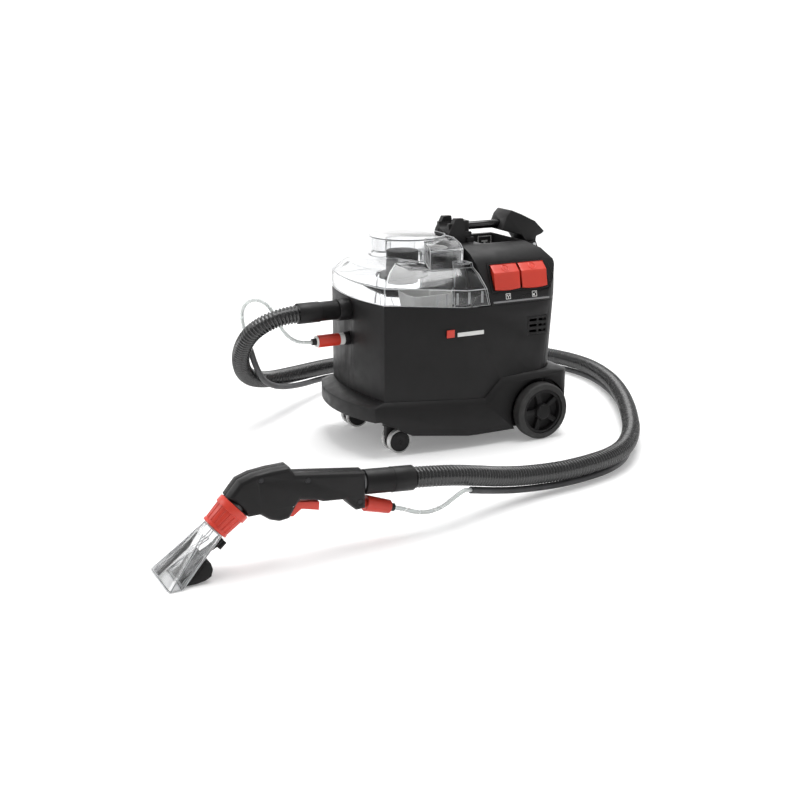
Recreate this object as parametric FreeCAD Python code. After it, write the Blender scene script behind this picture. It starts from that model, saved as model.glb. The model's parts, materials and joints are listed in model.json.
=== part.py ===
"""Compact spray-extraction carpet cleaner with its suction hose and hand tool.

Millimetres. +Z is up and the floor is Z = 0. The machine's middle plane is X = 0, its hose port and
casters face -Y, its large wheels and carrying-handle hinge are at +Y, and the hand tool lies at +X.
"""
import FreeCAD, Part
import math
import os

V = FreeCAD.Vector
os.makedirs("parts", exist_ok=True)

# ---------------------------------------------------------------- driving dimensions
OVERALL_HEIGHT = 440.0          # floor to the top of the carrying handle
GAP = 0.4                       # between faces of pieces that move past each other
SEAT = 0.3                      # between pieces that are fitted together and don't move
RUN = 0.05                      # radial clearance of a running shaft

CHASSIS_HALF_WIDTH = 145.0
CHASSIS_NOSE_HALF_WIDTH = 125.0
CHASSIS_NOSE_Y = -214.0
CHASSIS_REAR_Y = 242.0
CHASSIS_FLOOR_Z = 24.0
CHASSIS_WALL = 4.0
NOSE_UNDER_Z = 72.0             # underside of the nose, over the casters
POCKET_RADIUS = 46.0            # room that a caster sweeps
CREASE_NOSE_Z = 100.0           # outer edge of the ledge, at the nose
CREASE_LOW_Z = 84.0             # the same edge where it is lowest
CREASE_LOW_Y = 50.0
CREASE_STEP_Z = 120.0           # after the step up over the wheels
CREASE_STEP_Y = 87.0
CREASE_REAR_Z = 132.0

BODY_HALF_WIDTH = 135.0
BODY_NOSE_HALF_WIDTH = 118.0
BODY_NOSE_Y = -179.0
BODY_REAR_Y = 224.0
BODY_REAR_RAKE = 13.0           # the rear wall leans out by this much over its height
BODY_WALL = 3.0
BODY_BOTTOM_Z = NOSE_UNDER_Z + CHASSIS_WALL + SEAT
RIM_Z = 276.0                   # top edge of the body, level from TAPER_Y to the rear
RIM_NOSE_Z = 291.5              # the same edge at the nose
TAPER_Y = 10.0                  # the sides run straight behind this, and taper in front of it

GRILLE_Y = 168.0
GRILLE_Z = 228.0
GRILLE_LENGTH = 46.0
GRILLE_HEIGHT = 37.0

FRESH_TOP_Z = 240.0
WASTE_TOP_Z = 272.0
FILTER_Z = 244.0
FILTER_HEIGHT = 58.0
TANK_GAP = 2.0                  # body to fresh tank
TANK_WALL = 2.5
TANK_REAR_Y = 48.0
WASTE_INSET = 10.0              # waste tank's wall inside the body's outer face
WASTE_FLOOR_Z = 170.0

LID_WALL = 3.0
LID_SEAL = 2.5
LID_TOP_Z = 376.0
LID_BACK_Y = 18.0
WING_GAP = 3.0                  # wings to the control housing, all along the lid's path
WING_TOP_Z = 356.0
WING_X = 66.0
TURRET_RADIUS = 74.0
TURRET_Y = -52.0
TURRET_TOP_Z = 404.0
BAY_HALF_WIDTH = 97.0
BAY_TOP_Z = 392.0

CAGE_RADIUS = 31.0
CAGE_FLANGE_RADIUS = 50.0
CAGE_BOTTOM_Z = 318.0
CAGE_TOP_Z = 374.0
FLOAT_RADIUS = 20.0
FLOAT_HEIGHT = 30.0

HOUSING_TOP_Z = 384.0
HOUSING_WALL = 3.0
HOUSING_FRONT_Y = 22.0          # between the wings
SIDE_FACE_Y = 62.0              # beside the wings, at the rim
SIDE_FACE_LEAN = 14.5           # the side faces lean forward by this angle
RECESS_HALF_WIDTH = 56.0
RECESS_FRONT_Y = 84.0
RECESS_BACK_Y = 178.0
RECESS_FLOOR_Z = 300.0

SWITCH_LENGTH = 54.0            # along Y
SWITCH_HEIGHT = 44.0            # up the slope
SWITCH_DEPTH = 15.0
SWITCH_TILT = 24.0              # the panel leans in from vertical by this angle
SWITCH_PITCH = 62.0
SWITCH_FIRST_Y = 98.0
SWITCH_X = 118.0
SWITCH_Z = 326.0
SWITCH_GAP = 1.2                # rocker to its frame

HINGE_Y = 221.0
HINGE_Z = 369.0
HINGE_PIN_RADIUS = 4.0
HANDLE_BAR_RADIUS = 8.0
HANDLE_BAR_Z = 412.0
HANDLE_BAR_FRONT_Y = 66.0
HANDLE_BAR_REAR_Y = 196.0
HORN_SPREAD = 24.0              # middle plane to the middle of each horn
HORN_WIDTH = 12.0
HORN_TOP_Z = 431.0
REST_Z = 423.0                  # axis of the saddle between the horns, clear of the lid
GRIP_HALF_WIDTH = 27.0
LUG_WIDTH = 8.0

WHEEL_RADIUS = 57.0
WHEEL_WIDTH = 26.0
WHEEL_OUTER_X = 163.5
WHEEL_Y = 170.0
TYRE_THICKNESS = 12.0
WHEEL_WELL_GAP = 7.0
WELL_X = WHEEL_OUTER_X - WHEEL_WIDTH - WHEEL_WELL_GAP
AXLE_RADIUS = 6.0
HUBCAP_RADIUS = 16.0

CASTER_RADIUS = 24.0
CASTER_X = 94.0
CASTER_Y = -124.0               # wheel axis
CASTER_TRAIL = 14.0             # the swivel axis is this far ahead of the wheel axis
CASTER_WHEEL_WIDTH = 13.0
CASTER_HOOD_WIDTH = 12.0
CASTER_AXLE_RADIUS = 3.0
CASTER_STEM_RADIUS = 5.0
CASTER_TYRE = 4.0

MOTOR_Y = 128.0
MOTOR_BOTTOM_Z = 108.0
MOTOR_RADIUS = 46.0
MOTOR_HEIGHT = 70.0
MOTOR_SHAFT_RADIUS = 4.0
FAN_RADIUS = 48.0
FAN_HEIGHT = 16.0
FAN_CASE_WALL = 2.5
PUMP_X = -62.0
PUMP_Y = 104.0
GLAND_X = 60.0
GLAND_Z = 175.0
GLAND_RADIUS = 6.0
SCREW_RADIUS = 2.0
SCREW_HEAD_RADIUS = 4.0

PORT_Z = 269.0
SOCKET_RADIUS = 17.0
SOCKET_BORE = 14.5
SOCKET_FLANGE_RADIUS = 21.5
CUFF_RADIUS = 19.8
CUFF_COLLAR_RADIUS = 18.6
CUFF_START_Y = -204.0
CUFF_JOINT_Y = -241.0
CUFF_END_Y = -285.0
HOSE_RADIUS = 17.4
REST_RADIUS = HOSE_RADIUS + 0.2
HOSE_BORE_GAP = 0.2             # hose to the cuff that holds it
HOSE_GRIP = 23.0                # length of hose inside a cuff
WATER_PORT_Z = 211.0
WATER_SHANK_RADIUS = 7.0
COUPLING_RADIUS = 12.0
COUPLING_START_Y = -200.0
COUPLING_LENGTH = 45.0
COUPLING_RING = 5.0
COLLET_RADIUS = 6.5
COLLET_LENGTH = 9.0
TUBE_RADIUS = 3.5
SLEEVE_RADIUS = 6.0
SLEEVE_GAP = 1.7
SLEEVE_TWIST_GAP = 3.0          # added where the sleeve winds round the hose

TOOL_X = 463.0
TOOL_SPLIT = 0.15               # half the joint gap between the two shells
TOOL_WALL = 2.5
TOOL_REAR_Y = -372.0            # rear face of the grip
TOOL_REAR_Z = 99.0              # pipe's centre line at the rear face
PIPE_RISE = 0.0852              # height that the pipe gains for each unit forward
PIPE_RADIUS = 14.0
PIPE_BORE = 12.0
PIPE_SPIGOT = 28.0
TOOL_CUFF_RADIUS = 20.5
TOOL_CUFF_COLLAR_RADIUS = 20.0
TOOL_CUFF_LENGTH = 88.0
TOOL_CUFF_SET_BACK = 2.0        # keeps the slanted cuff clear of the upright rear face
NUT_TOP_Y = -581.0
NUT_TOP_Z = 97.0
NUT_DIP = 41.4                  # the nozzle's axis points this far below horizontal
NUT_RADIUS = 25.0
NUT_SMALL_RADIUS = 20.5
NUT_LENGTH = 45.0
NUT_BORE = 17.0
NECK_RADIUS = 16.7
NOZZLE_HALF_WIDTH = 48.0
NOZZLE_HALF_THICKNESS = 7.5
NOZZLE_WALL = 2.2
LIP_Z = 0.6                     # the nozzle's lips, just off the floor
TRIGGER_PIVOT_Y = -494.0
TRIGGER_PIVOT_Z = 85.0
TRIGGER_PIN_RADIUS = 1.6
TRIGGER_HALF_WIDTH = 7.0
TRIGGER_SLOT_GAP = 1.5
TOOL_COUPLING_Y = -371.0
TOOL_COUPLING_Z = 64.3
TOOL_COUPLING_DIP = 18.0

# Free cords: hand-chosen routes of their centre lines.
HOSE_ROUTE = [(0, -262, 269), (0, -308, 269), (-16, -348, 253), (-44, -371, 224), (-93, -371, 174),
              (-140, -345, 121), (-193, -285, 91), (-262, -194, 76), (-347, -72, 61), (-412, 67, 44),
              (-445, 215, 32.5), (-425, 365, 32.5), (-335, 480, 32.5), (-195, 525, 32.5),
              (-60, 498, 32.5), (65, 440, 32.5), (185, 367, 32.5), (300, 285, 32.5), (385, 190, 32.5),
              (412, 70, 32.5), (415, -15, 36), (430, -92, 50), (449, -160, 70), (463, -232, 87),
              (463, -304, 93.3)]
SLEEVE_FIRST = 4                # the sleeve lies along these points of the hose's route
SLEEVE_LAST = 22
SLEEVE_SIDES = [(-0.15, 0.91, 0.38), (0.59, 0.80, 0.10), (0.72, 0.55, -0.42), (0.55, 0.30, -0.78)]
TUBE_MACHINE_ROUTE = [(0, -256, 211), (0, -277, 211), (-12, -297, 220), (-30, -309, 241),
                      (-38, -318, 268), (-42, -334, 289), (-54, -353, 294), (-72, -365, 280),
                      (-85, -366, 254), (-90, -356.5, 217)]
TUBE_TOOL_ROUTE = [(463, -316, 46.4), (463, -298, 40.5), (464, -277, 31), (467, -253, 28), (473, -231, 36),
                   (478, -212, 51), (477, -195, 59), (466, -180, 53.5)]


# ---------------------------------------------------------------- helpers
def export(name, shape):
    """Write one sub-part; a compound holds a group of like solids."""
    solids = shape.Solids
    out = solids[0] if len(solids) == 1 else Part.makeCompound(solids)
    out.exportStep("parts/" + name + ".step")
    return out


def box(x0, x1, y0, y1, z0, z1):
    return Part.makeBox(x1 - x0, y1 - y0, z1 - z0, V(x0, y0, z0))


def cyl(start, axis, radius, height):
    return Part.makeCylinder(radius, height, V(*start), V(*axis))


def ring(start, axis, radius, bore, height):
    return cyl(start, axis, radius, height).cut(cyl(start, axis, bore, height))


def prism_x(points, x0, x1):
    """A YZ outline drawn out along X."""
    wire = Part.makePolygon([V(x0, y, z) for y, z in points] + [V(x0, *points[0])])
    return Part.Face(wire).extrude(V(x1 - x0, 0, 0))


def prism_y(points, y0, y1):
    """An XZ outline drawn out along Y."""
    wire = Part.makePolygon([V(x, y0, z) for x, z in points] + [V(points[0][0], y0, points[0][1])])
    return Part.Face(wire).extrude(V(0, y1 - y0, 0))


def mirrored(shape):
    return shape.mirror(V(0, 0, 0), V(1, 0, 0))


def ring_loft(rings):
    """A closed solid through rings of matching points; the first and last ring are flat."""
    faces = [Part.Face(Part.makePolygon(rings[0] + rings[0][:1])),
             Part.Face(Part.makePolygon(rings[-1] + rings[-1][:1]))]
    count = len(rings[0])
    for low, high in zip(rings, rings[1:]):
        for i in range(count):
            j = (i + 1) % count
            for corner in ((low[i], low[j], high[j]), (low[i], high[j], high[i])):
                faces.append(Part.Face(Part.makePolygon(list(corner) + [corner[0]])))
    shell = Part.makeShell(faces)
    shell.sewShape()
    solid = Part.makeSolid(shell)
    if solid.Volume < 0:
        solid.reverse()
    return solid


def outline(nose_half, nose_y, corner_depth, half, taper_y, rear_y, rear_radius, inset=0.0):
    """Plan of the machine as points: a bowed nose, tapering sides and round rear corners."""
    nose_half = nose_half - inset
    half = half - inset
    nose_y = nose_y + inset
    rear_y = rear_y - inset
    rear_radius = max(rear_radius - inset, 2.0)
    bow = (nose_half ** 2 + corner_depth ** 2) / (2 * corner_depth)
    span = math.asin(nose_half / bow)
    points = []
    for i in range(17):
        angle = span * (i - 8) / 8.0
        points.append((bow * math.sin(angle), nose_y + bow - bow * math.cos(angle)))
    points += [(half, taper_y), (half, CREASE_LOW_Y), (half, CREASE_STEP_Y)]
    for i in range(7):
        angle = math.radians(15 * i)
        points.append((half - rear_radius + rear_radius * math.cos(angle),
                       rear_y - rear_radius + rear_radius * math.sin(angle)))
    mirror = [(-x, y) for x, y in reversed(points[17:])]
    return points + mirror


def lifted(plan, height):
    """Points of a plan at a height, which may be a number or a function of y."""
    if callable(height):
        return [V(x, y, height(y)) for x, y in plan]
    return [V(x, y, height) for x, y in plan]


def step_line(points):
    """A function of y through (y, z) points, level outside them."""
    def height(y):
        if y <= points[0][0]:
            return points[0][1]
        for (y0, z0), (y1, z1) in zip(points, points[1:]):
            if y <= y1:
                return z0 + (z1 - z0) * (y - y0) / (y1 - y0)
        return points[-1][1]
    return height


def cord_path(route):
    """Straight runs joined by the largest tangent arcs that they allow; prints each radius."""
    points = [V(*p) for p in route]
    edges = []
    radii = []
    at = points[0]
    for i in range(1, len(points) - 1):
        before = points[i] - points[i - 1]
        after = points[i + 1] - points[i]
        cut = 0.45 * min(before.Length, after.Length)
        turn = before.getAngle(after)
        radii.append(cut / math.tan(turn / 2))
        back = V(before).normalize()
        ahead = V(after).normalize()
        start = points[i] - back * cut
        end = points[i] + ahead * cut
        inward = V(ahead - back).normalize()
        middle = points[i] + inward * (radii[-1] / math.cos(turn / 2) - radii[-1])
        edges.append(Part.LineSegment(at, start).toShape())
        edges.append(Part.Arc(start, middle, end).toShape())
        at = end
    edges.append(Part.LineSegment(at, points[-1]).toShape())
    return Part.Wire(edges), radii


def cord(name, route, radius):
    """A plain round cord along a route, checked against its section times its length."""
    path, radii = cord_path(route)
    start = V(*route[0])
    heading = V(*route[1]) - start
    section = Part.Wire(Part.makeCircle(radius, start, heading))
    solid = path.makePipeShell([section], True, False)
    expected = math.pi * radius ** 2 * path.Length
    print("%s: length %.0f, volume / expected %.4f, radii %s" % (
        name, path.Length, solid.Volume / expected, " ".join("%.0f" % r for r in radii)))
    return Part.makeSolid(solid) if solid.ShapeType == "Shell" else solid


def sleeve_route():
    """Points beside the hose's route: behind and beside it at first, then straight below it."""
    points = [V(*p) for p in HOSE_ROUTE]
    moved = []
    for i in range(SLEEVE_FIRST, SLEEVE_LAST + 1):
        along = (points[i + 1] - points[i]).normalize() + (points[i] - points[i - 1]).normalize()
        along.normalize()
        order = i - SLEEVE_FIRST
        side = V(*SLEEVE_SIDES[order]) if order < len(SLEEVE_SIDES) else V(0, 0, -1)
        side = (side - along * side.dot(along)).normalize()
        gap = SLEEVE_GAP + (SLEEVE_TWIST_GAP if order < len(SLEEVE_SIDES) else 0.0)
        moved.append(tuple(points[i] + side * (HOSE_RADIUS + gap + SLEEVE_RADIUS)))
    return moved


def inset_points(points, distance):
    """A closed outline moved inwards, each corner along its mitre."""
    area = sum(a[0] * b[1] - b[0] * a[1] for a, b in zip(points, points[1:] + points[:1]))
    turn = 1.0 if area > 0 else -1.0
    moved = []
    for i, corner in enumerate(points):
        before = V(corner[0] - points[i - 1][0], corner[1] - points[i - 1][1], 0).normalize()
        following = points[(i + 1) % len(points)]
        after = V(following[0] - corner[0], following[1] - corner[1], 0).normalize()
        normal = V(-before.y - after.y, before.x + after.x, 0).normalize() * turn
        mitre = distance / max(normal.dot(V(-after.y, after.x, 0) * turn), 0.5)
        moved.append((corner[0] + normal.x * mitre, corner[1] + normal.y * mitre))
    return moved


# ---------------------------------------------------------------- chassis and body
crease = step_line([(-183, CREASE_NOSE_Z), (CREASE_LOW_Y, CREASE_LOW_Z),
                    (CREASE_STEP_Y, CREASE_STEP_Z), (CHASSIS_REAR_Y, CREASE_REAR_Z)])
rim = step_line([(-158, RIM_NOSE_Z), (0, RIM_Z)])


def ledge(y):
    """Inner edge of the ledge, against the body."""
    return crease(y) + 11.0


def chassis_plan(inset=0.0):
    return outline(CHASSIS_NOSE_HALF_WIDTH, CHASSIS_NOSE_Y, 31.0, CHASSIS_HALF_WIDTH, TAPER_Y + 20,
                   CHASSIS_REAR_Y, 22.0, inset)


def body_plan(inset=0.0, rear=0.0):
    return outline(BODY_NOSE_HALF_WIDTH, BODY_NOSE_Y, 19.0, BODY_HALF_WIDTH, TAPER_Y,
                   BODY_REAR_Y - rear, 46.0, inset)


def plan_column(inset, rear, z0, z1):
    return ring_loft([lifted(body_plan(inset, rear), z0), lifted(body_plan(inset, rear), z1)])


def well_block(side, z0, z1):
    """Round wall behind a large wheel, between two heights."""
    depth = CHASSIS_WALL + BODY_HALF_WIDTH - WELL_X + SEAT
    disc = cyl((side * (WELL_X - CHASSIS_WALL), WHEEL_Y, WHEEL_RADIUS), (side, 0, 0),
               WHEEL_RADIUS + WHEEL_WELL_GAP + BODY_WALL, depth)
    return disc.common(box(-200, 200, 0, 300, z0, z1))


def wheel_well(side):
    return cyl((side * WELL_X, WHEEL_Y, WHEEL_RADIUS), (side, 0, 0), WHEEL_RADIUS + WHEEL_WELL_GAP, 60)


def chassis_base():
    """Tub with a sloping ledge, wells for the large wheels and pockets for the swivelling casters."""
    outer = chassis_plan()
    lean = BODY_REAR_RAKE * (CREASE_REAR_Z - BODY_BOTTOM_Z) / (RIM_Z - BODY_BOTTOM_Z)
    inner_low = body_plan(-SEAT, BODY_REAR_RAKE)
    inner_high = body_plan(-SEAT, BODY_REAR_RAKE - lean - 1.5)
    floor = CHASSIS_FLOOR_Z + CHASSIS_WALL
    roof = NOSE_UNDER_Z + CHASSIS_WALL
    tub = ring_loft([lifted(outer, 0.0), lifted(outer, crease), lifted(inner_high, ledge),
                     lifted(inner_low, floor)])
    slope = [(-260, NOSE_UNDER_Z), (-172, NOSE_UNDER_Z), (-107, 38), (10, CHASSIS_FLOOR_Z)]
    below = prism_x([(-260, -5)] + slope + [(208, CHASSIS_FLOOR_Z), (250, 48), (260, -5)], -200, 200)
    inside = plan_column(-SEAT, BODY_REAR_RAKE, -10, 200)
    slab = prism_x(slope + [(10, floor), (-105, 38 + CHASSIS_WALL), (-171, roof), (-260, roof)], -200, 200)
    tub = tub.cut(below).fuse(slab.common(inside))
    for side in (-1, 1):
        pivot = (side * CASTER_X, CASTER_Y - CASTER_TRAIL, 0)
        liner = cyl(pivot, (0, 0, 1), POCKET_RADIUS + CHASSIS_WALL, roof).common(inside).cut(below)
        pocket = cyl(pivot, (0, 0, 1), POCKET_RADIUS, NOSE_UNDER_Z).common(inside)
        boss = cyl((pivot[0], pivot[1], NOSE_UNDER_Z), (0, 0, 1), 12, BODY_BOTTOM_Z + 8 - NOSE_UNDER_Z)
        tub = tub.fuse(liner).cut(pocket).fuse(boss)
        tub = tub.cut(cyl(pivot, (0, 0, 1), CASTER_STEM_RADIUS + RUN, BODY_BOTTOM_Z + 20))
        wall = well_block(side, CHASSIS_FLOOR_Z, BODY_BOTTOM_Z - SEAT)
        tub = tub.fuse(wall).cut(wheel_well(side))
    tub = tub.cut(cyl((-WELL_X - 10, WHEEL_Y, WHEEL_RADIUS), (1, 0, 0), AXLE_RADIUS + RUN, 2 * WELL_X + 20))
    for x, y in screw_places():
        tub = tub.cut(cyl((x, y, 0), (0, 0, 1), SCREW_RADIUS + RUN, 60))
    return tub


def screw_places():
    return [(x, y) for x in (-60, 60) for y in (30, 195)]


def chassis_screws():
    """Screws through the chassis floor."""
    screws = []
    for x, y in screw_places():
        shank = cyl((x, y, CHASSIS_FLOOR_Z - SEAT), (0, 0, 1), SCREW_RADIUS, 14)
        head = cyl((x, y, CHASSIS_FLOOR_Z - SEAT - 2.5), (0, 0, 1), SCREW_HEAD_RADIUS, 2.5)
        screws.append(shank.fuse(head))
    return screws


def rim_line(lift):
    return [(-260, RIM_NOSE_Z + lift), (-158, RIM_NOSE_Z + lift), (0, RIM_Z + lift), (300, RIM_Z + lift)]


def above_rim(lift=0.0):
    """Everything above the body's top edge."""
    return prism_x(rim_line(lift) + [(300, 500), (-260, 500)], -200, 200)


def below_rim(lift=0.0):
    return prism_x(rim_line(lift) + [(300, 0), (-260, 0)], -200, 200)


def body_shell():
    """Outer housing: open above, rests in the chassis, with the hose and water ports in its nose."""
    solid = ring_loft([lifted(body_plan(0, BODY_REAR_RAKE), BODY_BOTTOM_Z), lifted(body_plan(), rim),
                       lifted(body_plan(), 320.0)])
    hollow = ring_loft([lifted(body_plan(BODY_WALL, BODY_REAR_RAKE), BODY_BOTTOM_Z - 1),
                        lifted(body_plan(BODY_WALL), rim), lifted(body_plan(BODY_WALL), 321.0)])
    shell = solid.cut(hollow).cut(above_rim())
    for side in (-1, 1):
        wall = well_block(side, BODY_BOTTOM_Z, 200).common(solid)
        shell = shell.fuse(wall).cut(wheel_well(side))
    shell = shell.cut(cyl((0, -150, PORT_Z), (0, -1, 0), SOCKET_RADIUS + SEAT, 60))
    shell = shell.cut(cyl((0, -150, WATER_PORT_Z), (0, -1, 0), WATER_SHANK_RADIUS + SEAT, 60))
    shell = shell.cut(cyl((GLAND_X, 190, GLAND_Z), (0, 1, 0), GLAND_RADIUS + SEAT, 60))
    return shell.cut(grille_block(SEAT))


def grille_block(grow):
    y = GRILLE_LENGTH / 2 + grow
    z = GRILLE_HEIGHT / 2 + grow
    return box(BODY_HALF_WIDTH - BODY_WALL - 2 * grow, BODY_HALF_WIDTH + 2 * grow, GRILLE_Y - y,
               GRILLE_Y + y, GRILLE_Z - z, GRILLE_Z + z)


def vent_grille():
    """Louvred insert in the near side: three rows of two slots."""
    plate = grille_block(0.0)
    y0 = GRILLE_Y - GRILLE_LENGTH / 2
    z0 = GRILLE_Z - GRILLE_HEIGHT / 2
    for row in range(3):
        for column in range(2):
            y = y0 + 4 + column * 21
            z = z0 + 5 + row * 11
            plate = plate.cut(box(BODY_HALF_WIDTH - 8, BODY_HALF_WIDTH + 8, y, y + 17, z, z + 5))
    return plate


# ---------------------------------------------------------------- tanks and lid
def plan_block(inset, z0, z1, y1):
    """The body's plan, inset, between two heights and forward of a station."""
    return plan_column(inset, BODY_REAR_RAKE, z0, z1).common(box(-200, 200, -300, y1, z0, z1))


def fresh_tank():
    """Open-topped tank for clean water that fills the front of the body."""
    inset = BODY_WALL + TANK_GAP
    floor = BODY_BOTTOM_Z + 12
    block = plan_block(inset, floor, FRESH_TOP_Z, TANK_REAR_Y)
    inside = plan_block(inset + TANK_WALL, floor + TANK_WALL, FRESH_TOP_Z + 1, TANK_REAR_Y - TANK_WALL)
    return block.cut(inside)


def waste_tank():
    """Bucket for the dirty water, lifted out of the fresh tank; a notch lets the suction port in."""
    rear = TANK_REAR_Y - TANK_WALL - 2
    block = plan_block(WASTE_INSET, WASTE_FLOOR_Z, WASTE_TOP_Z, rear)
    inside = plan_block(WASTE_INSET + TANK_WALL, WASTE_FLOOR_Z + TANK_WALL, WASTE_TOP_Z + 1, rear - TANK_WALL)
    notch = cyl((0, -140, PORT_Z), (0, -1, 0), SOCKET_RADIUS + SEAT, 60)
    slot = box(-SOCKET_RADIUS - SEAT, SOCKET_RADIUS + SEAT, -200, -140, PORT_Z, WASTE_TOP_Z + 1)
    return block.cut(inside).cut(notch).cut(slot)


def rounded_tray(inset, z0, z1):
    block = box(14 + inset, 98 - inset, -84 + inset, -inset, z0, z1)
    uprights = [e for e in block.Edges if abs(e.Vertexes[0].Z - e.Vertexes[1].Z) > 1]
    return block.makeFillet(14 - inset, uprights)


def lint_filter():
    """White strainer basket that stands in the waste tank under the lid."""
    basket = rounded_tray(0, FILTER_Z, FILTER_Z + FILTER_HEIGHT)
    return basket.cut(rounded_tray(2, FILTER_Z + 2, FILTER_Z + FILTER_HEIGHT + 1))


def side_face_y(z, back):
    """Station of the housing's leaning side face at a height, moved forward by back."""
    return SIDE_FACE_Y - back - (z - RIM_Z) * math.tan(math.radians(SIDE_FACE_LEAN))


def side_face_prism(back, top, low, high):
    return prism_x([(-10, 150), (side_face_y(150, back), 150), (side_face_y(top, back), top), (-10, top)],
                   low, high)


def lid_solid(inset, lift):
    """The lid's outer shape, inset: a dome on the rim, a round turret and a bay with two wings."""
    rings = [lifted(body_plan(inset), 240.0), lifted(body_plan(inset), lambda y: rim(y) + 34)]
    for extra, z in ((6, 42), (20, 60), (45, 75)):
        rings.append(lifted(body_plan(inset + extra), lambda y, z=z: rim(y) + z - inset * 0.6))
    rings.append(lifted(body_plan(inset + 78), LID_TOP_Z - inset))
    turret = cyl((0, TURRET_Y, 300), (0, 0, 1), TURRET_RADIUS - inset, TURRET_TOP_Z - inset - 300)
    half = BAY_HALF_WIDTH - inset
    top = BAY_TOP_Z - inset
    bay = prism_y([(-half, 300), (half, 300), (half, top - 8), (half - 9, top), (60, top + 9), (-60, top + 9),
                   (9 - half, top), (-half, top - 8)], TURRET_Y, 60)
    keep = box(-200, 200, -300, LID_BACK_Y - inset, 150, 500)
    for side in (-1, 1):
        low, high = sorted((side * (WING_X + inset), side * 200))
        keep = keep.fuse(side_face_prism(WING_GAP + inset, WING_TOP_Z - inset, low, high))
    return ring_loft(rings).fuse([turret, bay]).common(keep).cut(below_rim(lift))


def lid_clear():
    """Transparent cover over both tanks."""
    return lid_solid(0.0, LID_SEAL).cut(lid_solid(LID_WALL, LID_SEAL - 1))


def lid_seal():
    """Gasket between the rim and the lid."""
    outer = plan_column(0.8, 0, 250, 320)
    inner = plan_column(BODY_WALL + 2, 0, 249, 321)
    band = outer.cut(inner).cut(below_rim(SEAT)).cut(above_rim(LID_SEAL))
    return band.common(box(-200, 200, -300, LID_BACK_Y, 200, 400))


def cage_point(z):
    return (0, TURRET_Y - 10, z)


def float_cage():
    """Black cup under the turret that guides the float; its flange is clipped to the lid."""
    up = (0, 0, 1)
    cage = ring(cage_point(CAGE_BOTTOM_Z), up, CAGE_RADIUS, CAGE_RADIUS - 2.5, CAGE_TOP_Z - CAGE_BOTTOM_Z)
    cap = cyl(cage_point(CAGE_TOP_Z - 2.5), up, CAGE_RADIUS, 2.5)
    flange = ring(cage_point(CAGE_BOTTOM_Z + 6), up, CAGE_FLANGE_RADIUS, CAGE_RADIUS - 1, 3)
    foot = ring(cage_point(CAGE_BOTTOM_Z - 3), up, CAGE_RADIUS, FLOAT_RADIUS - 6, 3.5)
    return cage.fuse([cap, flange, foot])


def float_ball():
    """Float that rises and closes the air path when the waste tank is full."""
    return cyl(cage_point(CAGE_BOTTOM_Z + 1), (0, 0, 1), FLOAT_RADIUS, FLOAT_HEIGHT)


# ---------------------------------------------------------------- control housing and switches
def housing_solid(inset):
    section = [(BODY_HALF_WIDTH, RIM_Z), (131, 300), (108, 352), (90, 372), (66, HOUSING_TOP_Z)]
    section = [(x - inset, z - (inset if z > 290 else -SEAT + inset)) for x, z in section]
    section = section + [(-x, z) for x, z in reversed(section)]
    foot = RIM_Z + SEAT - inset
    rear = BODY_REAR_Y - inset
    profile = [(HOUSING_FRONT_Y + inset, foot), (HOUSING_FRONT_Y + inset, HOUSING_TOP_Z + 6),
               (168 - inset, HOUSING_TOP_Z + 6), (200 - inset, 372 - inset), (217 - inset, 352 - inset),
               (rear, 318), (rear, foot)]
    block = prism_y(section, 10, 260).common(prism_x(profile, -200, 200))
    block = block.common(plan_column(inset, 0, 200, 420))
    for side in (-1, 1):
        low, high = sorted((side * (WING_X - 4 - inset), side * 200))
        block = block.cut(side_face_prism(-inset, 500, low, high))
    return block


def recess_block(grow):
    return box(-RECESS_HALF_WIDTH - grow, RECESS_HALF_WIDTH + grow, RECESS_FRONT_Y - grow,
               RECESS_BACK_Y + grow, RECESS_FLOOR_Z - grow, HOUSING_TOP_Z + 20)


def control_housing():
    """Top cover behind the lid, with the filling recess under the handle and the switch panel."""
    outer = housing_solid(0.0)
    shell = outer.cut(housing_solid(HOUSING_WALL))
    shell = shell.fuse(recess_block(HOUSING_WALL).common(outer)).cut(recess_block(0.0))
    shell = shell.cut(on_panel(bezel_length() + 2 * SEAT, SWITCH_HEIGHT + 14 + 2 * SEAT, -30, 8,
                               bezel_middle_y()))
    for side in (-1, 1):
        x0, x1 = sorted((side * (GRIP_HALF_WIDTH + GAP), side * (GRIP_HALF_WIDTH + GAP + LUG_WIDTH)))
        lug = prism_x([(HINGE_Y - 24, 340), (HINGE_Y - 24, 354), (HINGE_Y - 9, HINGE_Z + 6),
                       (HINGE_Y + 3, HINGE_Z + 8), (HINGE_Y + 8, HINGE_Z - 3), (HINGE_Y - 2, 340)], x0, x1)
        shell = shell.fuse(lug)
    return shell.cut(hinge_bar(HINGE_PIN_RADIUS + RUN, 80))


def hinge_bar(radius, length):
    return cyl((-length / 2, HINGE_Y, HINGE_Z), (1, 0, 0), radius, length)


def bezel_length():
    return SWITCH_PITCH + SWITCH_LENGTH + 14


def bezel_middle_y():
    return SWITCH_FIRST_Y + SWITCH_PITCH / 2


def on_panel(length, height, depth_in, depth_out, middle_y):
    """A block on the switch panel, from depth_in below its surface to depth_out above it."""
    block = box(depth_in, depth_out, middle_y - length / 2, middle_y + length / 2, -height / 2, height / 2)
    block.rotate(V(0, 0, 0), V(0, 1, 0), -SWITCH_TILT)
    block.translate(V(SWITCH_X, 0, SWITCH_Z))
    return block


def switch_bezel():
    """Frame that is clipped into the panel and holds both rocker switches."""
    frame = on_panel(bezel_length(), SWITCH_HEIGHT + 14, -12, 2.0, bezel_middle_y())
    for i in range(2):
        y = SWITCH_FIRST_Y + i * SWITCH_PITCH
        frame = frame.cut(on_panel(SWITCH_LENGTH + 2 * SWITCH_GAP, SWITCH_HEIGHT + 2 * SWITCH_GAP, -20, 8, y))
    return frame


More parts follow.
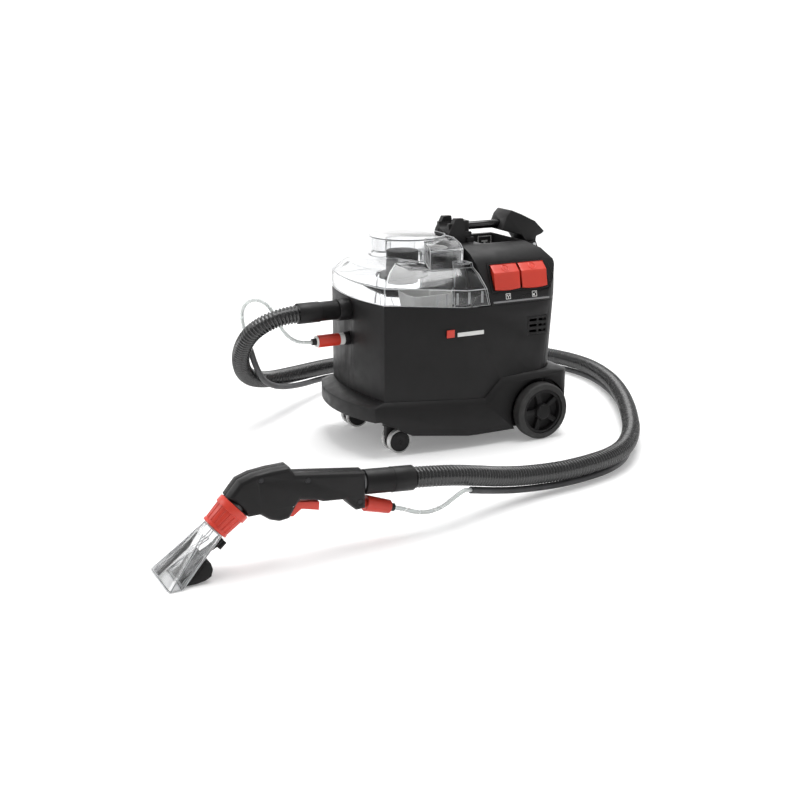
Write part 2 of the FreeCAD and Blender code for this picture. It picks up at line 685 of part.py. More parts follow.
def switch_rocker(index):
    """Rocker with a crown on each half, so that either half can be pressed."""
    half = SWITCH_HEIGHT / 2
    y = SWITCH_FIRST_Y + index * SWITCH_PITCH
    profile = [(-7, -half), (6.5, -half), (8.5, -half + 3), (5.5, 0), (8.5, half - 3), (6.5, half), (-7, half)]
    block = prism_y(profile, y - SWITCH_LENGTH / 2, y + SWITCH_LENGTH / 2)
    block.rotate(V(0, 0, 0), V(0, 1, 0), -SWITCH_TILT)
    block.translate(V(SWITCH_X, 0, SWITCH_Z))
    return block


# ---------------------------------------------------------------- carrying handle
def handle_bracket():
    """Front end of the handle: two horns, a saddle for the hose, and a foot on the housing."""
    y0 = HANDLE_BAR_FRONT_Y - 40
    edge = HORN_SPREAD + HORN_WIDTH / 2
    horns = []
    for side in (-1, 1):
        middle = side * HORN_SPREAD
        horns.append(prism_x([(y0, 404), (y0 + 14, HORN_TOP_Z), (y0 + 31, HORN_TOP_Z), (y0 + 38, 398),
                              (y0 + 38, 389), (y0 + 4, 389)], middle - HORN_WIDTH / 2, middle + HORN_WIDTH / 2))
    base = box(-edge, edge, y0 + 2, y0 + 50, HOUSING_TOP_Z + GAP, 404)
    foot = box(-edge - 5, edge + 5, y0 + 38, y0 + 53, HOUSING_TOP_Z + GAP, 394)
    collar = box(-14, 14, y0 + 36, y0 + 53, 390, 424)
    saddle = box(-HORN_SPREAD, HORN_SPREAD, y0 + 2, y0 + 36, 398, REST_Z - 2)
    block = base.fuse(horns + [foot, collar, saddle])
    block = block.cut(cyl((0, y0 - 10, REST_Z), (0, 1, 0), REST_RADIUS, 46))
    block = block.cut(box(-REST_RADIUS, REST_RADIUS, y0 - 10, y0 + 36, REST_Z, 460))
    return block.cut(cyl((0, HANDLE_BAR_FRONT_Y, HANDLE_BAR_Z), (0, 1, 0), HANDLE_BAR_RADIUS + RUN, 40))


def handle_bar():
    return cyl((0, HANDLE_BAR_FRONT_Y, HANDLE_BAR_Z), (0, 1, 0), HANDLE_BAR_RADIUS,
               HANDLE_BAR_REAR_Y - HANDLE_BAR_FRONT_Y)


def handle_grip():
    """Rear end of the handle with its hinge knuckle and thumb plate."""
    plate = prism_x([(148, 402), (160, 430), (170, OVERALL_HEIGHT), (193, 431), (227, 415), (250, 393),
                     (243, 388), (231, 384), (228, HINGE_Z - 6), (224, HINGE_Z - 9), (216, HINGE_Z - 9),
                     (196, 388)], -GRIP_HALF_WIDTH, GRIP_HALF_WIDTH)
    plate = plate.cut(cyl((0, 100, HANDLE_BAR_Z), (0, 1, 0), HANDLE_BAR_RADIUS + RUN,
                          HANDLE_BAR_REAR_Y - 100 + SEAT))
    return plate.cut(hinge_bar(HINGE_PIN_RADIUS + RUN, 80))


def handle_hinge_pin():
    return hinge_bar(HINGE_PIN_RADIUS, 2 * (GRIP_HALF_WIDTH + GAP + LUG_WIDTH))


# ---------------------------------------------------------------- machinery
def suction_motor():
    """Upright motor with its shaft."""
    can = cyl((0, MOTOR_Y, MOTOR_BOTTOM_Z), (0, 0, 1), MOTOR_RADIUS, MOTOR_HEIGHT)
    shaft = cyl((0, MOTOR_Y, MOTOR_BOTTOM_Z + MOTOR_HEIGHT - 2), (0, 0, 1), MOTOR_SHAFT_RADIUS,
                FAN_HEIGHT + 12)
    return can.fuse(shaft)


def fan_bottom_z():
    return MOTOR_BOTTOM_Z + MOTOR_HEIGHT + 6


def motor_fan():
    """Impeller with curved blades between two plates."""
    base = fan_bottom_z()
    middle = (0, MOTOR_Y, base)
    fan = cyl(middle, (0, 0, 1), FAN_RADIUS, 2)
    fan = fan.fuse(ring((0, MOTOR_Y, base + FAN_HEIGHT - 2), (0, 0, 1), FAN_RADIUS, FAN_RADIUS - 24, 2))
    blades = [cyl(middle, (0, 0, 1), 10, FAN_HEIGHT - 4)]
    for i in range(8):
        blade = box(8, FAN_RADIUS - 1, -1, 1, 0, FAN_HEIGHT - 1)
        blade.rotate(V(8, 0, 0), V(0, 0, 1), 25)
        blade = blade.common(cyl((0, 0, 0), (0, 0, 1), FAN_RADIUS - 1, FAN_HEIGHT))
        blade.rotate(V(0, 0, 0), V(0, 0, 1), 45 * i)
        blade.translate(V(*middle))
        blades.append(blade)
    return fan.fuse(blades).cut(cyl(middle, (0, 0, 1), MOTOR_SHAFT_RADIUS + RUN, FAN_HEIGHT))


def fan_case():
    """Round housing over the impeller, with its inlet above."""
    base = MOTOR_BOTTOM_Z + MOTOR_HEIGHT + SEAT
    height = fan_bottom_z() + FAN_HEIGHT + 4 - base
    outer = FAN_RADIUS + 4 + FAN_CASE_WALL
    case = ring((0, MOTOR_Y, base), (0, 0, 1), outer, FAN_RADIUS + 4, height)
    return case.fuse(ring((0, MOTOR_Y, base + height), (0, 0, 1), outer, 20, FAN_CASE_WALL))


def motor_cradle():
    """Platform on four legs that carries the motor over the axle."""
    top = MOTOR_BOTTOM_Z - SEAT
    cradle = box(-50, 50, MOTOR_Y - 48, MOTOR_Y + 48, top - 4, top)
    for x in (-46, 46):
        for y in (MOTOR_Y - 42, MOTOR_Y + 31):
            cradle = cradle.fuse(box(x - 4, x + 4, y - 3, y + 3, CHASSIS_FLOOR_Z + CHASSIS_WALL + SEAT, top - 3))
    return cradle


def spray_pump():
    """Vibration pump: a coil block with an inlet and an outlet stub."""
    floor = CHASSIS_FLOOR_Z + CHASSIS_WALL + SEAT
    block = box(PUMP_X - 38, PUMP_X + 8, PUMP_Y - 12, PUMP_Y + 34, floor, floor + 42)
    stub = cyl((PUMP_X - 15, PUMP_Y - 42, floor + 20), (0, 1, 0), 6, 34)
    return block.fuse(stub)


def cord_gland():
    """Strain relief where the mains cord leaves the rear wall."""
    sleeve = ring((GLAND_X, 205, GLAND_Z), (0, 1, 0), GLAND_RADIUS, 3.5, 27)
    return sleeve.fuse(ring((GLAND_X, 219, GLAND_Z), (0, 1, 0), GLAND_RADIUS + 5, 3.5, 4))


# ---------------------------------------------------------------- wheels and casters
def rear_axle():
    half = WHEEL_OUTER_X - 6
    return cyl((-half, WHEEL_Y, WHEEL_RADIUS), (1, 0, 0), AXLE_RADIUS, 2 * half)


def wheel_point(side, x):
    return (side * x, WHEEL_Y, WHEEL_RADIUS)


def tyre(side):
    """Tyre with a rounded tread."""
    block = cyl(wheel_point(side, WHEEL_OUTER_X - WHEEL_WIDTH), (side, 0, 0), WHEEL_RADIUS, WHEEL_WIDTH)
    block = block.makeFillet(5.0, [e for e in block.Edges if len(e.Vertexes) == 1])
    bore = cyl(wheel_point(side, WHEEL_OUTER_X - WHEEL_WIDTH - 1), (side, 0, 0),
               WHEEL_RADIUS - TYRE_THICKNESS, WHEEL_WIDTH + 2)
    return block.cut(bore)


def wheel_rim(side):
    """Rim with five broad spokes and a hub that runs on the axle."""
    out = (side, 0, 0)
    radius = WHEEL_RADIUS - TYRE_THICKNESS - RUN
    inner = WHEEL_OUTER_X - WHEEL_WIDTH + 1
    rim_part = ring(wheel_point(side, inner), out, radius, radius - 6, WHEEL_WIDTH - 3)
    hub = cyl(wheel_point(side, inner), out, HUBCAP_RADIUS, WHEEL_WIDTH - 6)
    web = cyl(wheel_point(side, inner + 8), out, radius - 2, 3)
    spokes = []
    for i in range(5):
        spoke = box(0, WHEEL_WIDTH - 6, -5, 5, 6, radius - 3)
        spoke.rotate(V(0, 0, 0), V(1, 0, 0), 72 * i + 18)
        if side < 0:
            spoke = mirrored(spoke)
        spoke.translate(V(*wheel_point(side, inner)))
        spokes.append(spoke)
    whole = rim_part.fuse([hub, web] + spokes)
    return whole.cut(cyl(wheel_point(side, inner - 5), out, AXLE_RADIUS + RUN, WHEEL_WIDTH + 10))


def hubcap(side):
    """Cap over the axle's end."""
    start = WHEEL_OUTER_X - WHEEL_WIDTH + 1 + WHEEL_WIDTH - 6 + SEAT
    cap = cyl(wheel_point(side, start), (side, 0, 0), HUBCAP_RADIUS, 6)
    edges = [e for e in cap.Edges if len(e.Vertexes) == 1 and abs(e.Vertexes[0].X) > start + 5]
    cap = cap.makeFillet(2.5, edges)
    return cap.cut(cyl(wheel_point(side, start - 1), (side, 0, 0), AXLE_RADIUS + SEAT, 3.5))


def caster_point(side, x):
    return (side * CASTER_X + x, CASTER_Y, CASTER_RADIUS)


def caster_hood(side):
    """Fork plate between the twin wheels, with the stem that swivels in the chassis."""
    half = CASTER_HOOD_WIDTH / 2
    x = side * CASTER_X
    pivot_y = CASTER_Y - CASTER_TRAIL
    plate = prism_x([(CASTER_Y - 6, 14), (CASTER_Y + 8, 16), (CASTER_Y + 16, 28), (CASTER_Y + 12, 42),
                     (CASTER_Y - 2, 54), (pivot_y + 8, 60), (pivot_y - 9, 60), (pivot_y - 10, 34),
                     (pivot_y - 3, 20)], x - half, x + half)
    cap = cyl((x, pivot_y, 54), (0, 0, 1), 14, 8)
    stem = cyl((x, pivot_y, 60), (0, 0, 1), CASTER_STEM_RADIUS, NOSE_UNDER_Z + CHASSIS_WALL + 8 - 60)
    hole = cyl(caster_point(side, -20), (1, 0, 0), CASTER_AXLE_RADIUS + RUN, 40)
    return plate.fuse([cap, stem]).cut(hole)


def caster_pair(side, radius, bore, width, offset):
    """The same ring on both sides of a caster's hood."""
    rings = []
    for turn in (-1, 1):
        rings.append(ring(caster_point(side, turn * offset), (turn, 0, 0), radius, bore, width))
    return rings


def caster_discs(side):
    """Both discs with the axle that they turn on."""
    half = CASTER_HOOD_WIDTH / 2 + GAP + CASTER_WHEEL_WIDTH
    axle = cyl(caster_point(side, -half), (1, 0, 0), CASTER_AXLE_RADIUS, 2 * half)
    discs = caster_pair(side, CASTER_RADIUS - CASTER_TYRE - RUN, CASTER_AXLE_RADIUS + RUN,
                        CASTER_WHEEL_WIDTH, CASTER_HOOD_WIDTH / 2 + GAP)
    return Part.makeCompound(discs + [axle])


def caster_tyres(side):
    return Part.makeCompound(caster_pair(side, CASTER_RADIUS, CASTER_RADIUS - CASTER_TYRE,
                                         CASTER_WHEEL_WIDTH - 3, CASTER_HOOD_WIDTH / 2 + GAP + 1))


# ---------------------------------------------------------------- ports, cuffs and couplings
def hose_socket():
    """Suction port in the nose, with the spigot that the cuff turns on."""
    inner_end = BODY_NOSE_Y + 30
    outer_end = CUFF_START_Y - 12
    socket = ring((0, inner_end, PORT_Z), (0, -1, 0), SOCKET_RADIUS, SOCKET_BORE, inner_end - outer_end)
    flange = ring((0, BODY_NOSE_Y - SEAT, PORT_Z), (0, -1, 0), SOCKET_FLANGE_RADIUS, SOCKET_BORE,
                  BODY_NOSE_Y - CUFF_START_Y - 2 * SEAT)
    return socket.fuse(flange)


def hose_cuff_machine():
    """Two-step cuff: it turns on the socket and holds the end of the hose."""
    collar = cyl((0, CUFF_START_Y, PORT_Z), (0, -1, 0), CUFF_COLLAR_RADIUS, CUFF_START_Y - CUFF_JOINT_Y)
    barrel = cyl((0, CUFF_JOINT_Y, PORT_Z), (0, -1, 0), CUFF_RADIUS, CUFF_JOINT_Y - CUFF_END_Y)
    bore = cyl((0, CUFF_START_Y + 1, PORT_Z), (0, -1, 0), SOCKET_RADIUS + SEAT, 16)
    through = cyl((0, CUFF_START_Y + 1, PORT_Z), (0, -1, 0), SOCKET_BORE, 90)
    seat = cyl((0, CUFF_END_Y + HOSE_GRIP, PORT_Z), (0, -1, 0), HOSE_RADIUS + HOSE_BORE_GAP, HOSE_GRIP + 1)
    return collar.fuse(barrel).cut(bore.fuse([through, seat]))


def water_socket():
    """Valve body for the clear tube, in the nose under the suction port."""
    flange_end = COUPLING_START_Y + COUPLING_RING * 2 + SEAT
    shank = cyl((0, BODY_NOSE_Y + BODY_WALL + 1, WATER_PORT_Z), (0, -1, 0), WATER_SHANK_RADIUS,
                BODY_NOSE_Y + BODY_WALL + 1 - flange_end)
    flange = cyl((0, BODY_NOSE_Y - SEAT, WATER_PORT_Z), (0, -1, 0), COUPLING_RADIUS + 1,
                 BODY_NOSE_Y - SEAT - flange_end)
    return shank.fuse(flange)


def coupling_rings():
    """Two pale rings at the ends of the machine's coupling."""
    first = cyl((0, COUPLING_START_Y + 2 * COUPLING_RING, WATER_PORT_Z), (0, -1, 0), COUPLING_RADIUS - 0.6,
                2 * COUPLING_RING - SEAT)
    last = ring((0, COUPLING_START_Y - COUPLING_LENGTH - SEAT, WATER_PORT_Z), (0, -1, 0),
                COUPLING_RADIUS - 0.4, COLLET_RADIUS + SEAT, COUPLING_RING - 2)
    return Part.makeCompound([first, last])


def coupling_machine():
    """Grip sleeve of the snap coupling."""
    barrel = cyl((0, COUPLING_START_Y, WATER_PORT_Z), (0, -1, 0), COUPLING_RADIUS, COUPLING_LENGTH)
    return barrel.makeFillet(1.2, [e for e in barrel.Edges if len(e.Vertexes) == 1])


def collet_machine():
    start = COUPLING_START_Y - COUPLING_LENGTH - SEAT
    return cyl((0, start, WATER_PORT_Z), (0, -1, 0), COLLET_RADIUS, start - TUBE_MACHINE_ROUTE[0][1])


# ---------------------------------------------------------------- hand tool
def neck(s, back=0.0):
    """Point (y, z) on the nozzle's axis, s below the nut's upper face and back behind the axis."""
    dip = math.radians(NUT_DIP)
    return (NUT_TOP_Y - s * math.cos(dip) + back * math.sin(dip),
            NUT_TOP_Z - s * math.sin(dip) - back * math.cos(dip))


def neck_direction():
    dip = math.radians(NUT_DIP)
    return (0, -math.cos(dip), -math.sin(dip))


def pipe_z(y):
    return TOOL_REAR_Z + (TOOL_REAR_Y - y) * PIPE_RISE


def tool_pipe():
    """Suction pipe through the grip, bent towards the nozzle."""
    slope = math.tan(math.radians(NUT_DIP))
    bend_y = (TOOL_REAR_Z + TOOL_REAR_Y * PIPE_RISE - NUT_TOP_Z + NUT_TOP_Y * slope) / (slope + PIPE_RISE)
    rear_y = TOOL_REAR_Y + PIPE_SPIGOT
    route = [(TOOL_X, rear_y, pipe_z(rear_y)), (TOOL_X, bend_y, pipe_z(bend_y)), (TOOL_X,) + neck(30)]
    path = cord_path(route)[0]
    heading = V(*route[1]) - V(*route[0])
    walls = [path.makePipeShell([Part.Wire(Part.makeCircle(r, V(*route[0]), heading))], True, False)
             for r in (PIPE_RADIUS, PIPE_BORE)]
    return walls[0].cut(walls[1])


def shell_outline():
    upper = neck(-1.0, -24.0)
    lower = neck(-1.0, 24.0)
    rear = TOOL_REAR_Y
    return [upper, (-577, 138), (-556, 145), (-530, 148), (-498, 149), (-489, 136), (rear, 120),
            (rear, 60), (rear - 16, 59), (rear - 26, 68), (rear - 36, 80), (rear - 72, 83), (-450, 86),
            (-482, 93), (-489, 84), (-500, 66), (-516, 64), (-531, 69), (-546, 80), lower]


def tool_shell(side):
    """One half of the grip: side is 1 for the near half and -1 for the far half."""
    outline_points = shell_outline()
    outer = ring_loft([[V(TOOL_X + side * x, y, z) for y, z in inset_points(outline_points, inset)]
                       for x, inset in ((TOOL_SPLIT, 0.0), (11, 0.0), (16, 2.0), (19, 6.0))])
    inner = ring_loft([[V(TOOL_X + side * x, y, z) for y, z in inset_points(outline_points, TOOL_WALL + inset)]
                       for x, inset in ((-1, 0.0), (10.5, 0.0), (14.5, 1.5), (16.5, 4.0))])
    shell = outer.cut(inner)
    shell = shell.cut(cyl((TOOL_X,) + neck(-35), neck_direction(), PIPE_RADIUS + 3, 45))
    rear = (TOOL_X, TOOL_REAR_Y - 12, pipe_z(TOOL_REAR_Y - 12))
    shell = shell.cut(cyl(rear, (0, 1, -PIPE_RISE), PIPE_RADIUS + SEAT, 20))
    shell = shell.cut(cyl(tool_coupling_point(-10), tool_coupling_axis(), WATER_SHANK_RADIUS + SEAT, 14))
    half = TRIGGER_HALF_WIDTH + TRIGGER_SLOT_GAP
    shell = shell.cut(box(TOOL_X - half, TOOL_X + half, -502, -445, 50, 98))
    shell = shell.cut(cyl((TOOL_X - 30, TRIGGER_PIVOT_Y, TRIGGER_PIVOT_Z), (1, 0, 0),
                          TRIGGER_PIN_RADIUS + RUN, 60))
    for y, z in tool_screw_places():
        shell = shell.cut(cyl((TOOL_X - 15, y, z), (1, 0, 0), SCREW_RADIUS + RUN, 60))
        shell = shell.cut(cyl((TOOL_X + 17, y, z), (1, 0, 0), SCREW_HEAD_RADIUS + SEAT, 10))
    return shell


def tool_screw_places():
    return [(-545, 136), (-470, 123.5), (-384, 74)]


def tool_screws():
    """Screws that hold the two halves of the grip together."""
    screws = []
    for y, z in tool_screw_places():
        shank = cyl((TOOL_X - 14, y, z), (1, 0, 0), SCREW_RADIUS, 31 + SEAT)
        head = cyl((TOOL_X + 17 + SEAT, y, z), (1, 0, 0), SCREW_HEAD_RADIUS, 1.6)
        screws.append(shank.fuse(head))
    return screws


def tool_trigger():
    """Trigger: a leg along the belly and a paddle under the grip."""
    lever = prism_x([(-499, 88), (-488, 89), (-480, 87), (-447, 82), (-448, 68), (-477, 75), (-491, 65),
                     (-498, 66), (-496, 76)], TOOL_X - TRIGGER_HALF_WIDTH, TOOL_X + TRIGGER_HALF_WIDTH)
    return lever.cut(cyl((TOOL_X - 30, TRIGGER_PIVOT_Y, TRIGGER_PIVOT_Z), (1, 0, 0),
                         TRIGGER_PIN_RADIUS + RUN, 60))


def trigger_pin():
    return cyl((TOOL_X - 15, TRIGGER_PIVOT_Y, TRIGGER_PIVOT_Z), (1, 0, 0), TRIGGER_PIN_RADIUS, 30)


def tool_valve():
    """Water valve in the belly, worked by the trigger through a short plunger."""
    body = box(TOOL_X - 8, TOOL_X + 8, -534, -510, 78, 92)
    return body.fuse(cyl((TOOL_X, -511, TRIGGER_PIVOT_Z), (0, 1, 0), 2, 10.5))


def swivel_nut():
    """Fluted nut that clamps the nozzle to the grip."""
    axis = neck_direction()
    nut = Part.makeCone(NUT_RADIUS, NUT_SMALL_RADIUS, NUT_LENGTH, V(TOOL_X, *neck(0)), V(*axis))
    nut = nut.makeFillet(1.5, [e for e in nut.Edges if len(e.Vertexes) == 1])
    cross = V(*axis).cross(V(1, 0, 0))
    for i in range(18):
        angle = math.radians(20 * i)
        outward = V(1, 0, 0) * math.cos(angle) + cross * math.sin(angle)
        start = V(TOOL_X, *neck(9)) + outward * (NUT_RADIUS + 0.2)
        end = V(TOOL_X, *neck(39)) + outward * (NUT_SMALL_RADIUS + 1.2)
        nut = nut.cut(Part.makeCylinder(1.8, (end - start).Length, start, end - start))
    return nut.cut(cyl((TOOL_X,) + neck(-1), axis, NUT_BORE, NUT_LENGTH + 2))


def nozzle_ring(s, half_width, half_thickness, squareness, floor_z=None):
    """Points of a nozzle section: round at squareness 1, boxy above it; floor_z cuts it level."""
    dip = math.radians(NUT_DIP)
    points = []
    for i in range(24):
        angle = math.radians(15 * i + 7.5)
        x = half_width * max(-1.0, min(1.0, squareness * math.cos(angle)))
        back = half_thickness * max(-1.0, min(1.0, squareness * math.sin(angle)))
        at = s
        if floor_z is not None:
            at = (NUT_TOP_Z - back * math.cos(dip) - floor_z) / math.sin(dip)
        points.append(V(TOOL_X + x, *neck(at, back)))
    return points


def nozzle_clear():
    """Transparent flared nozzle with its round neck."""
    wall = NOZZLE_WALL
    outer = ring_loft([nozzle_ring(NUT_LENGTH + 1.5, NUT_BORE, NUT_BORE, 1.0), nozzle_ring(62, 19, 15.5, 1.15),
                       nozzle_ring(0, NOZZLE_HALF_WIDTH, NOZZLE_HALF_THICKNESS, 1.35, LIP_Z)])
    inner = ring_loft([nozzle_ring(NUT_LENGTH, NUT_BORE - wall, NUT_BORE - wall, 1.0),
                       nozzle_ring(62, 19 - wall, 15.5 - wall, 1.15),
                       nozzle_ring(0, NOZZLE_HALF_WIDTH - wall, NOZZLE_HALF_THICKNESS - wall, 1.35, -1)])
    collar = ring((TOOL_X,) + neck(NUT_LENGTH - 20), neck_direction(), NECK_RADIUS, PIPE_RADIUS + SEAT, 22.5)
    return outer.cut(inner).fuse(collar)


def nozzle_back():
    """Black spray guard behind the nozzle with its narrow stem."""
    stem = [neck(48, 18.0), neck(48, 23.0), neck(62, 22.5), (-634, 29), (-640.3, 26.5), neck(62, 16.5)]
    lobe = [(-637, 29.0), (-632, 27), (-630, 18), (-634, 9), (-644, 4), (-658, 1.5), (-677.2, 1.2)]
    guard = prism_x(lobe, TOOL_X - 40, TOOL_X + 40)
    taper = prism_y([(TOOL_X + x, z) for x, z in ((-40, -5), (-40, 8), (-28, 40), (28, 40), (40, 8), (40, -5))],
                    -760, -560)
    return guard.common(taper).fuse(prism_x(stem, TOOL_X - 8, TOOL_X + 8))


def spray_jet():
    return cyl((TOOL_X,) + neck(49, 24.0 + SEAT + 4), neck_direction(), 4, 14)


def tool_coupling_axis():
    dip = math.radians(TOOL_COUPLING_DIP)
    return (0, math.cos(dip), -math.sin(dip))


def tool_coupling_point(distance):
    axis = tool_coupling_axis()
    return (TOOL_X, TOOL_COUPLING_Y + axis[1] * distance, TOOL_COUPLING_Z + axis[2] * distance)


def coupling_tool():
    axis = tool_coupling_axis()
    barrel = Part.makeCone(COUPLING_RADIUS + 1, COUPLING_RADIUS - 1, COUPLING_LENGTH,
                           V(*tool_coupling_point(4)), V(*axis))
    barrel = barrel.makeFillet(1.2, [e for e in barrel.Edges if len(e.Vertexes) == 1])
    return barrel.fuse(cyl(tool_coupling_point(-8), axis, WATER_SHANK_RADIUS, 14))


def collet_tool():
    start = tool_coupling_point(4 + COUPLING_LENGTH + SEAT)
    length = (V(*TUBE_TOOL_ROUTE[0]) - V(*start)).Length
    return cyl(start, tool_coupling_axis(), COLLET_RADIUS, length - SEAT)


def hose_cuff_tool():
    """Two-step cuff at the tool's end of the hose."""
    axis = (0, 1, -PIPE_RISE)
    stretch = math.sqrt(1 + PIPE_RISE ** 2)
    start_y = TOOL_REAR_Y + TOOL_CUFF_SET_BACK
    start = (TOOL_X, start_y, pipe_z(start_y))
    middle_y = TOOL_REAR_Y + TOOL_CUFF_LENGTH * 0.58
    middle = (TOOL_X, middle_y, pipe_z(middle_y))
    end_y = TOOL_REAR_Y + TOOL_CUFF_LENGTH
    grip_y = HOSE_ROUTE[-1][1]
    cuff = cyl(start, axis, TOOL_CUFF_COLLAR_RADIUS, (middle[1] + 1 - start_y) * stretch)
    cuff = cuff.fuse(cyl(middle, axis, TOOL_CUFF_RADIUS, (end_y - middle[1]) * stretch))
    seat = cyl((TOOL_X, grip_y - 2, pipe_z(grip_y - 2)), axis, HOSE_RADIUS + HOSE_BORE_GAP, 40)
    return cuff.cut(cyl((TOOL_X, -380, pipe_z(-380)), axis, PIPE_RADIUS + SEAT, 120).fuse(seat))


# ---------------------------------------------------------------- build
export("chassis_base", chassis_base())
export("body_shell", body_shell())
export("vent_grille", vent_grille())
export("fresh_tank", fresh_tank())
export("waste_tank", waste_tank())
export("lint_filter", lint_filter())
export("lid_clear", lid_clear())
export("lid_seal", lid_seal())
export("float_cage", float_cage())
export("float_ball", float_ball())
export("control_housing", control_housing())
export("switch_bezel", switch_bezel())
export("switch_suction", switch_rocker(0))
export("switch_spray", switch_rocker(1))
export("handle_bracket", handle_bracket())
export("handle_bar", handle_bar())
export("handle_grip", handle_grip())
export("handle_hinge_pin", handle_hinge_pin())
export("suction_motor", suction_motor())
export("motor_fan", motor_fan())
export("fan_case", fan_case())
export("motor_cradle", motor_cradle())
export("spray_pump", spray_pump())
export("cord_gland", cord_gland())
export("rear_axle", rear_axle())
for name, direction in (("left", 1), ("right", -1)):
    export("tyre_" + name, tyre(direction))
    export("rim_" + name, wheel_rim(direction))
    export("hubcap_" + name, hubcap(direction))
    export("caster_hood_" + name, caster_hood(direction))
    export("caster_discs_" + name, caster_discs(direction))
    export("caster_tyres_" + name, caster_tyres(direction))
    export("tool_shell_" + name, tool_shell(direction))
export("hose_socket", hose_socket())
export("hose_cuff_machine", hose_cuff_machine())
export("water_socket", water_socket())
export("coupling_rings", coupling_rings())
export("coupling_machine", coupling_machine())
export("tool_pipe", tool_pipe())
export("screws", Part.makeCompound(chassis_screws() + tool_screws()))
export("tool_trigger", tool_trigger())
export("trigger_pin", trigger_pin())
export("tool_valve", tool_valve())
export("swivel_nut", swivel_nut())
export("nozzle_clear", nozzle_clear())
export("nozzle_back", nozzle_back())
export("spray_jet", spray_jet())
export("coupling_tool", coupling_tool())
export("collets", Part.makeCompound([collet_machine(), collet_tool()]))
export("hose_cuff_tool", hose_cuff_tool())
export("suction_hose", cord("suction_hose", HOSE_ROUTE, HOSE_RADIUS))
export("hose_sleeve", cord("hose_sleeve", sleeve_route(), SLEEVE_RADIUS))
export("tube_machine", cord("tube_machine", TUBE_MACHINE_ROUTE + sleeve_route()[:1], TUBE_RADIUS))
export("tube_tool", cord("tube_tool", TUBE_TOOL_ROUTE + sleeve_route()[-1:], TUBE_RADIUS))
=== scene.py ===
"""Compact carpet cleaner with its hose and hand tool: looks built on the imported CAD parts. Metres, +Z up."""

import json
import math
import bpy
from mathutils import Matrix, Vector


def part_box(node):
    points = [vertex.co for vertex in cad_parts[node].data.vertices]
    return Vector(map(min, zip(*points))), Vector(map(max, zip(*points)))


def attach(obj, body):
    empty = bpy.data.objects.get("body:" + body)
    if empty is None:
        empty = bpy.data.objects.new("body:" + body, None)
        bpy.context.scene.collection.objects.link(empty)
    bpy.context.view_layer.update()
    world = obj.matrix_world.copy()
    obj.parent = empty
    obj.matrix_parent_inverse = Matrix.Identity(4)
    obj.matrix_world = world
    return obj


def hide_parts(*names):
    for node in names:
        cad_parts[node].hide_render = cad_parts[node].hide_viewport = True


bl_info = {
    "name": "Carpet cleaner",
    "version": (1, 0, 0),
    "blender": (4, 5, 0),
    "location": "3D View > Sidebar > Cleaner",
    "description": "Finishes, cords, clear lid, switches and hand tool of a compact carpet cleaner",
    "category": "Object",
}

import bpy
from mathutils import Matrix, Vector

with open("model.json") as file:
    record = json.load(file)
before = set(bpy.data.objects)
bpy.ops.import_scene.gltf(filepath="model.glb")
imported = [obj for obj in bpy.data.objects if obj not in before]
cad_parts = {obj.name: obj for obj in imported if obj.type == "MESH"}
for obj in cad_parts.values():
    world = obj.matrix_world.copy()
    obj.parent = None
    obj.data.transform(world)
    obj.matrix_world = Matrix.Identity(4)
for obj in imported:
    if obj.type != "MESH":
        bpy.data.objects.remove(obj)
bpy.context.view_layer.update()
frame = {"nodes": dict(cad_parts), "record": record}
RECORD = frame["record"]
BODY_OF = {node: body for body, nodes in RECORD["behaviour"]["bodies"].items() for node in nodes}
SLOT_OF = {part["node"]: part["material_slot"] for part in RECORD["subparts"]}
MM = 0.001

# Routes of the free cords, as in the part's source
HOSE_ROUTE = [(0, -262, 269), (0, -308, 269), (-16, -348, 253), (-44, -371, 224), (-93, -371, 174),
              (-140, -345, 121), (-193, -285, 91), (-262, -194, 76), (-347, -72, 61), (-412, 67, 44),
              (-445, 215, 32.5), (-425, 365, 32.5), (-335, 480, 32.5), (-195, 525, 32.5),
              (-60, 498, 32.5), (65, 440, 32.5), (185, 367, 32.5), (300, 285, 32.5), (385, 190, 32.5),
              (412, 70, 32.5), (415, -15, 36), (430, -92, 50), (449, -160, 70), (463, -232, 87),
              (463, -304, 93.3)]
SLEEVE_FIRST = 4                # the sleeve runs beside these points of the hose's route
SLEEVE_LAST = 22
SLEEVE_SIDES = [(-0.15, 0.91, 0.38), (0.59, 0.80, 0.10), (0.72, 0.55, -0.42), (0.55, 0.30, -0.78)]
SLEEVE_GAP = 1.7
SLEEVE_TWIST_GAP = 3.0
TUBE_MACHINE_ROUTE = [(0, -256, 211), (0, -277, 211), (-12, -297, 220), (-30, -309, 241),
                      (-38, -318, 268), (-42, -334, 289), (-54, -353, 294), (-72, -365, 280),
                      (-85, -366, 254), (-90, -356.5, 217)]
TUBE_TOOL_ROUTE = [(463, -316, 46.4), (463, -298, 40.5), (464, -277, 31), (467, -253, 28),
                   (473, -231, 36), (478, -212, 51), (477, -195, 59), (466, -180, 53.5)]
RIB_STEPS = 6                   # rings of points to each turn of the hose's rib
RIB_SHARPNESS = 1.4             # above 1 the grooves are narrower than the ribs
HOSE_RADIUS = 17.4
SLEEVE_RADIUS = 6.0
TUBE_RADIUS = 3.5

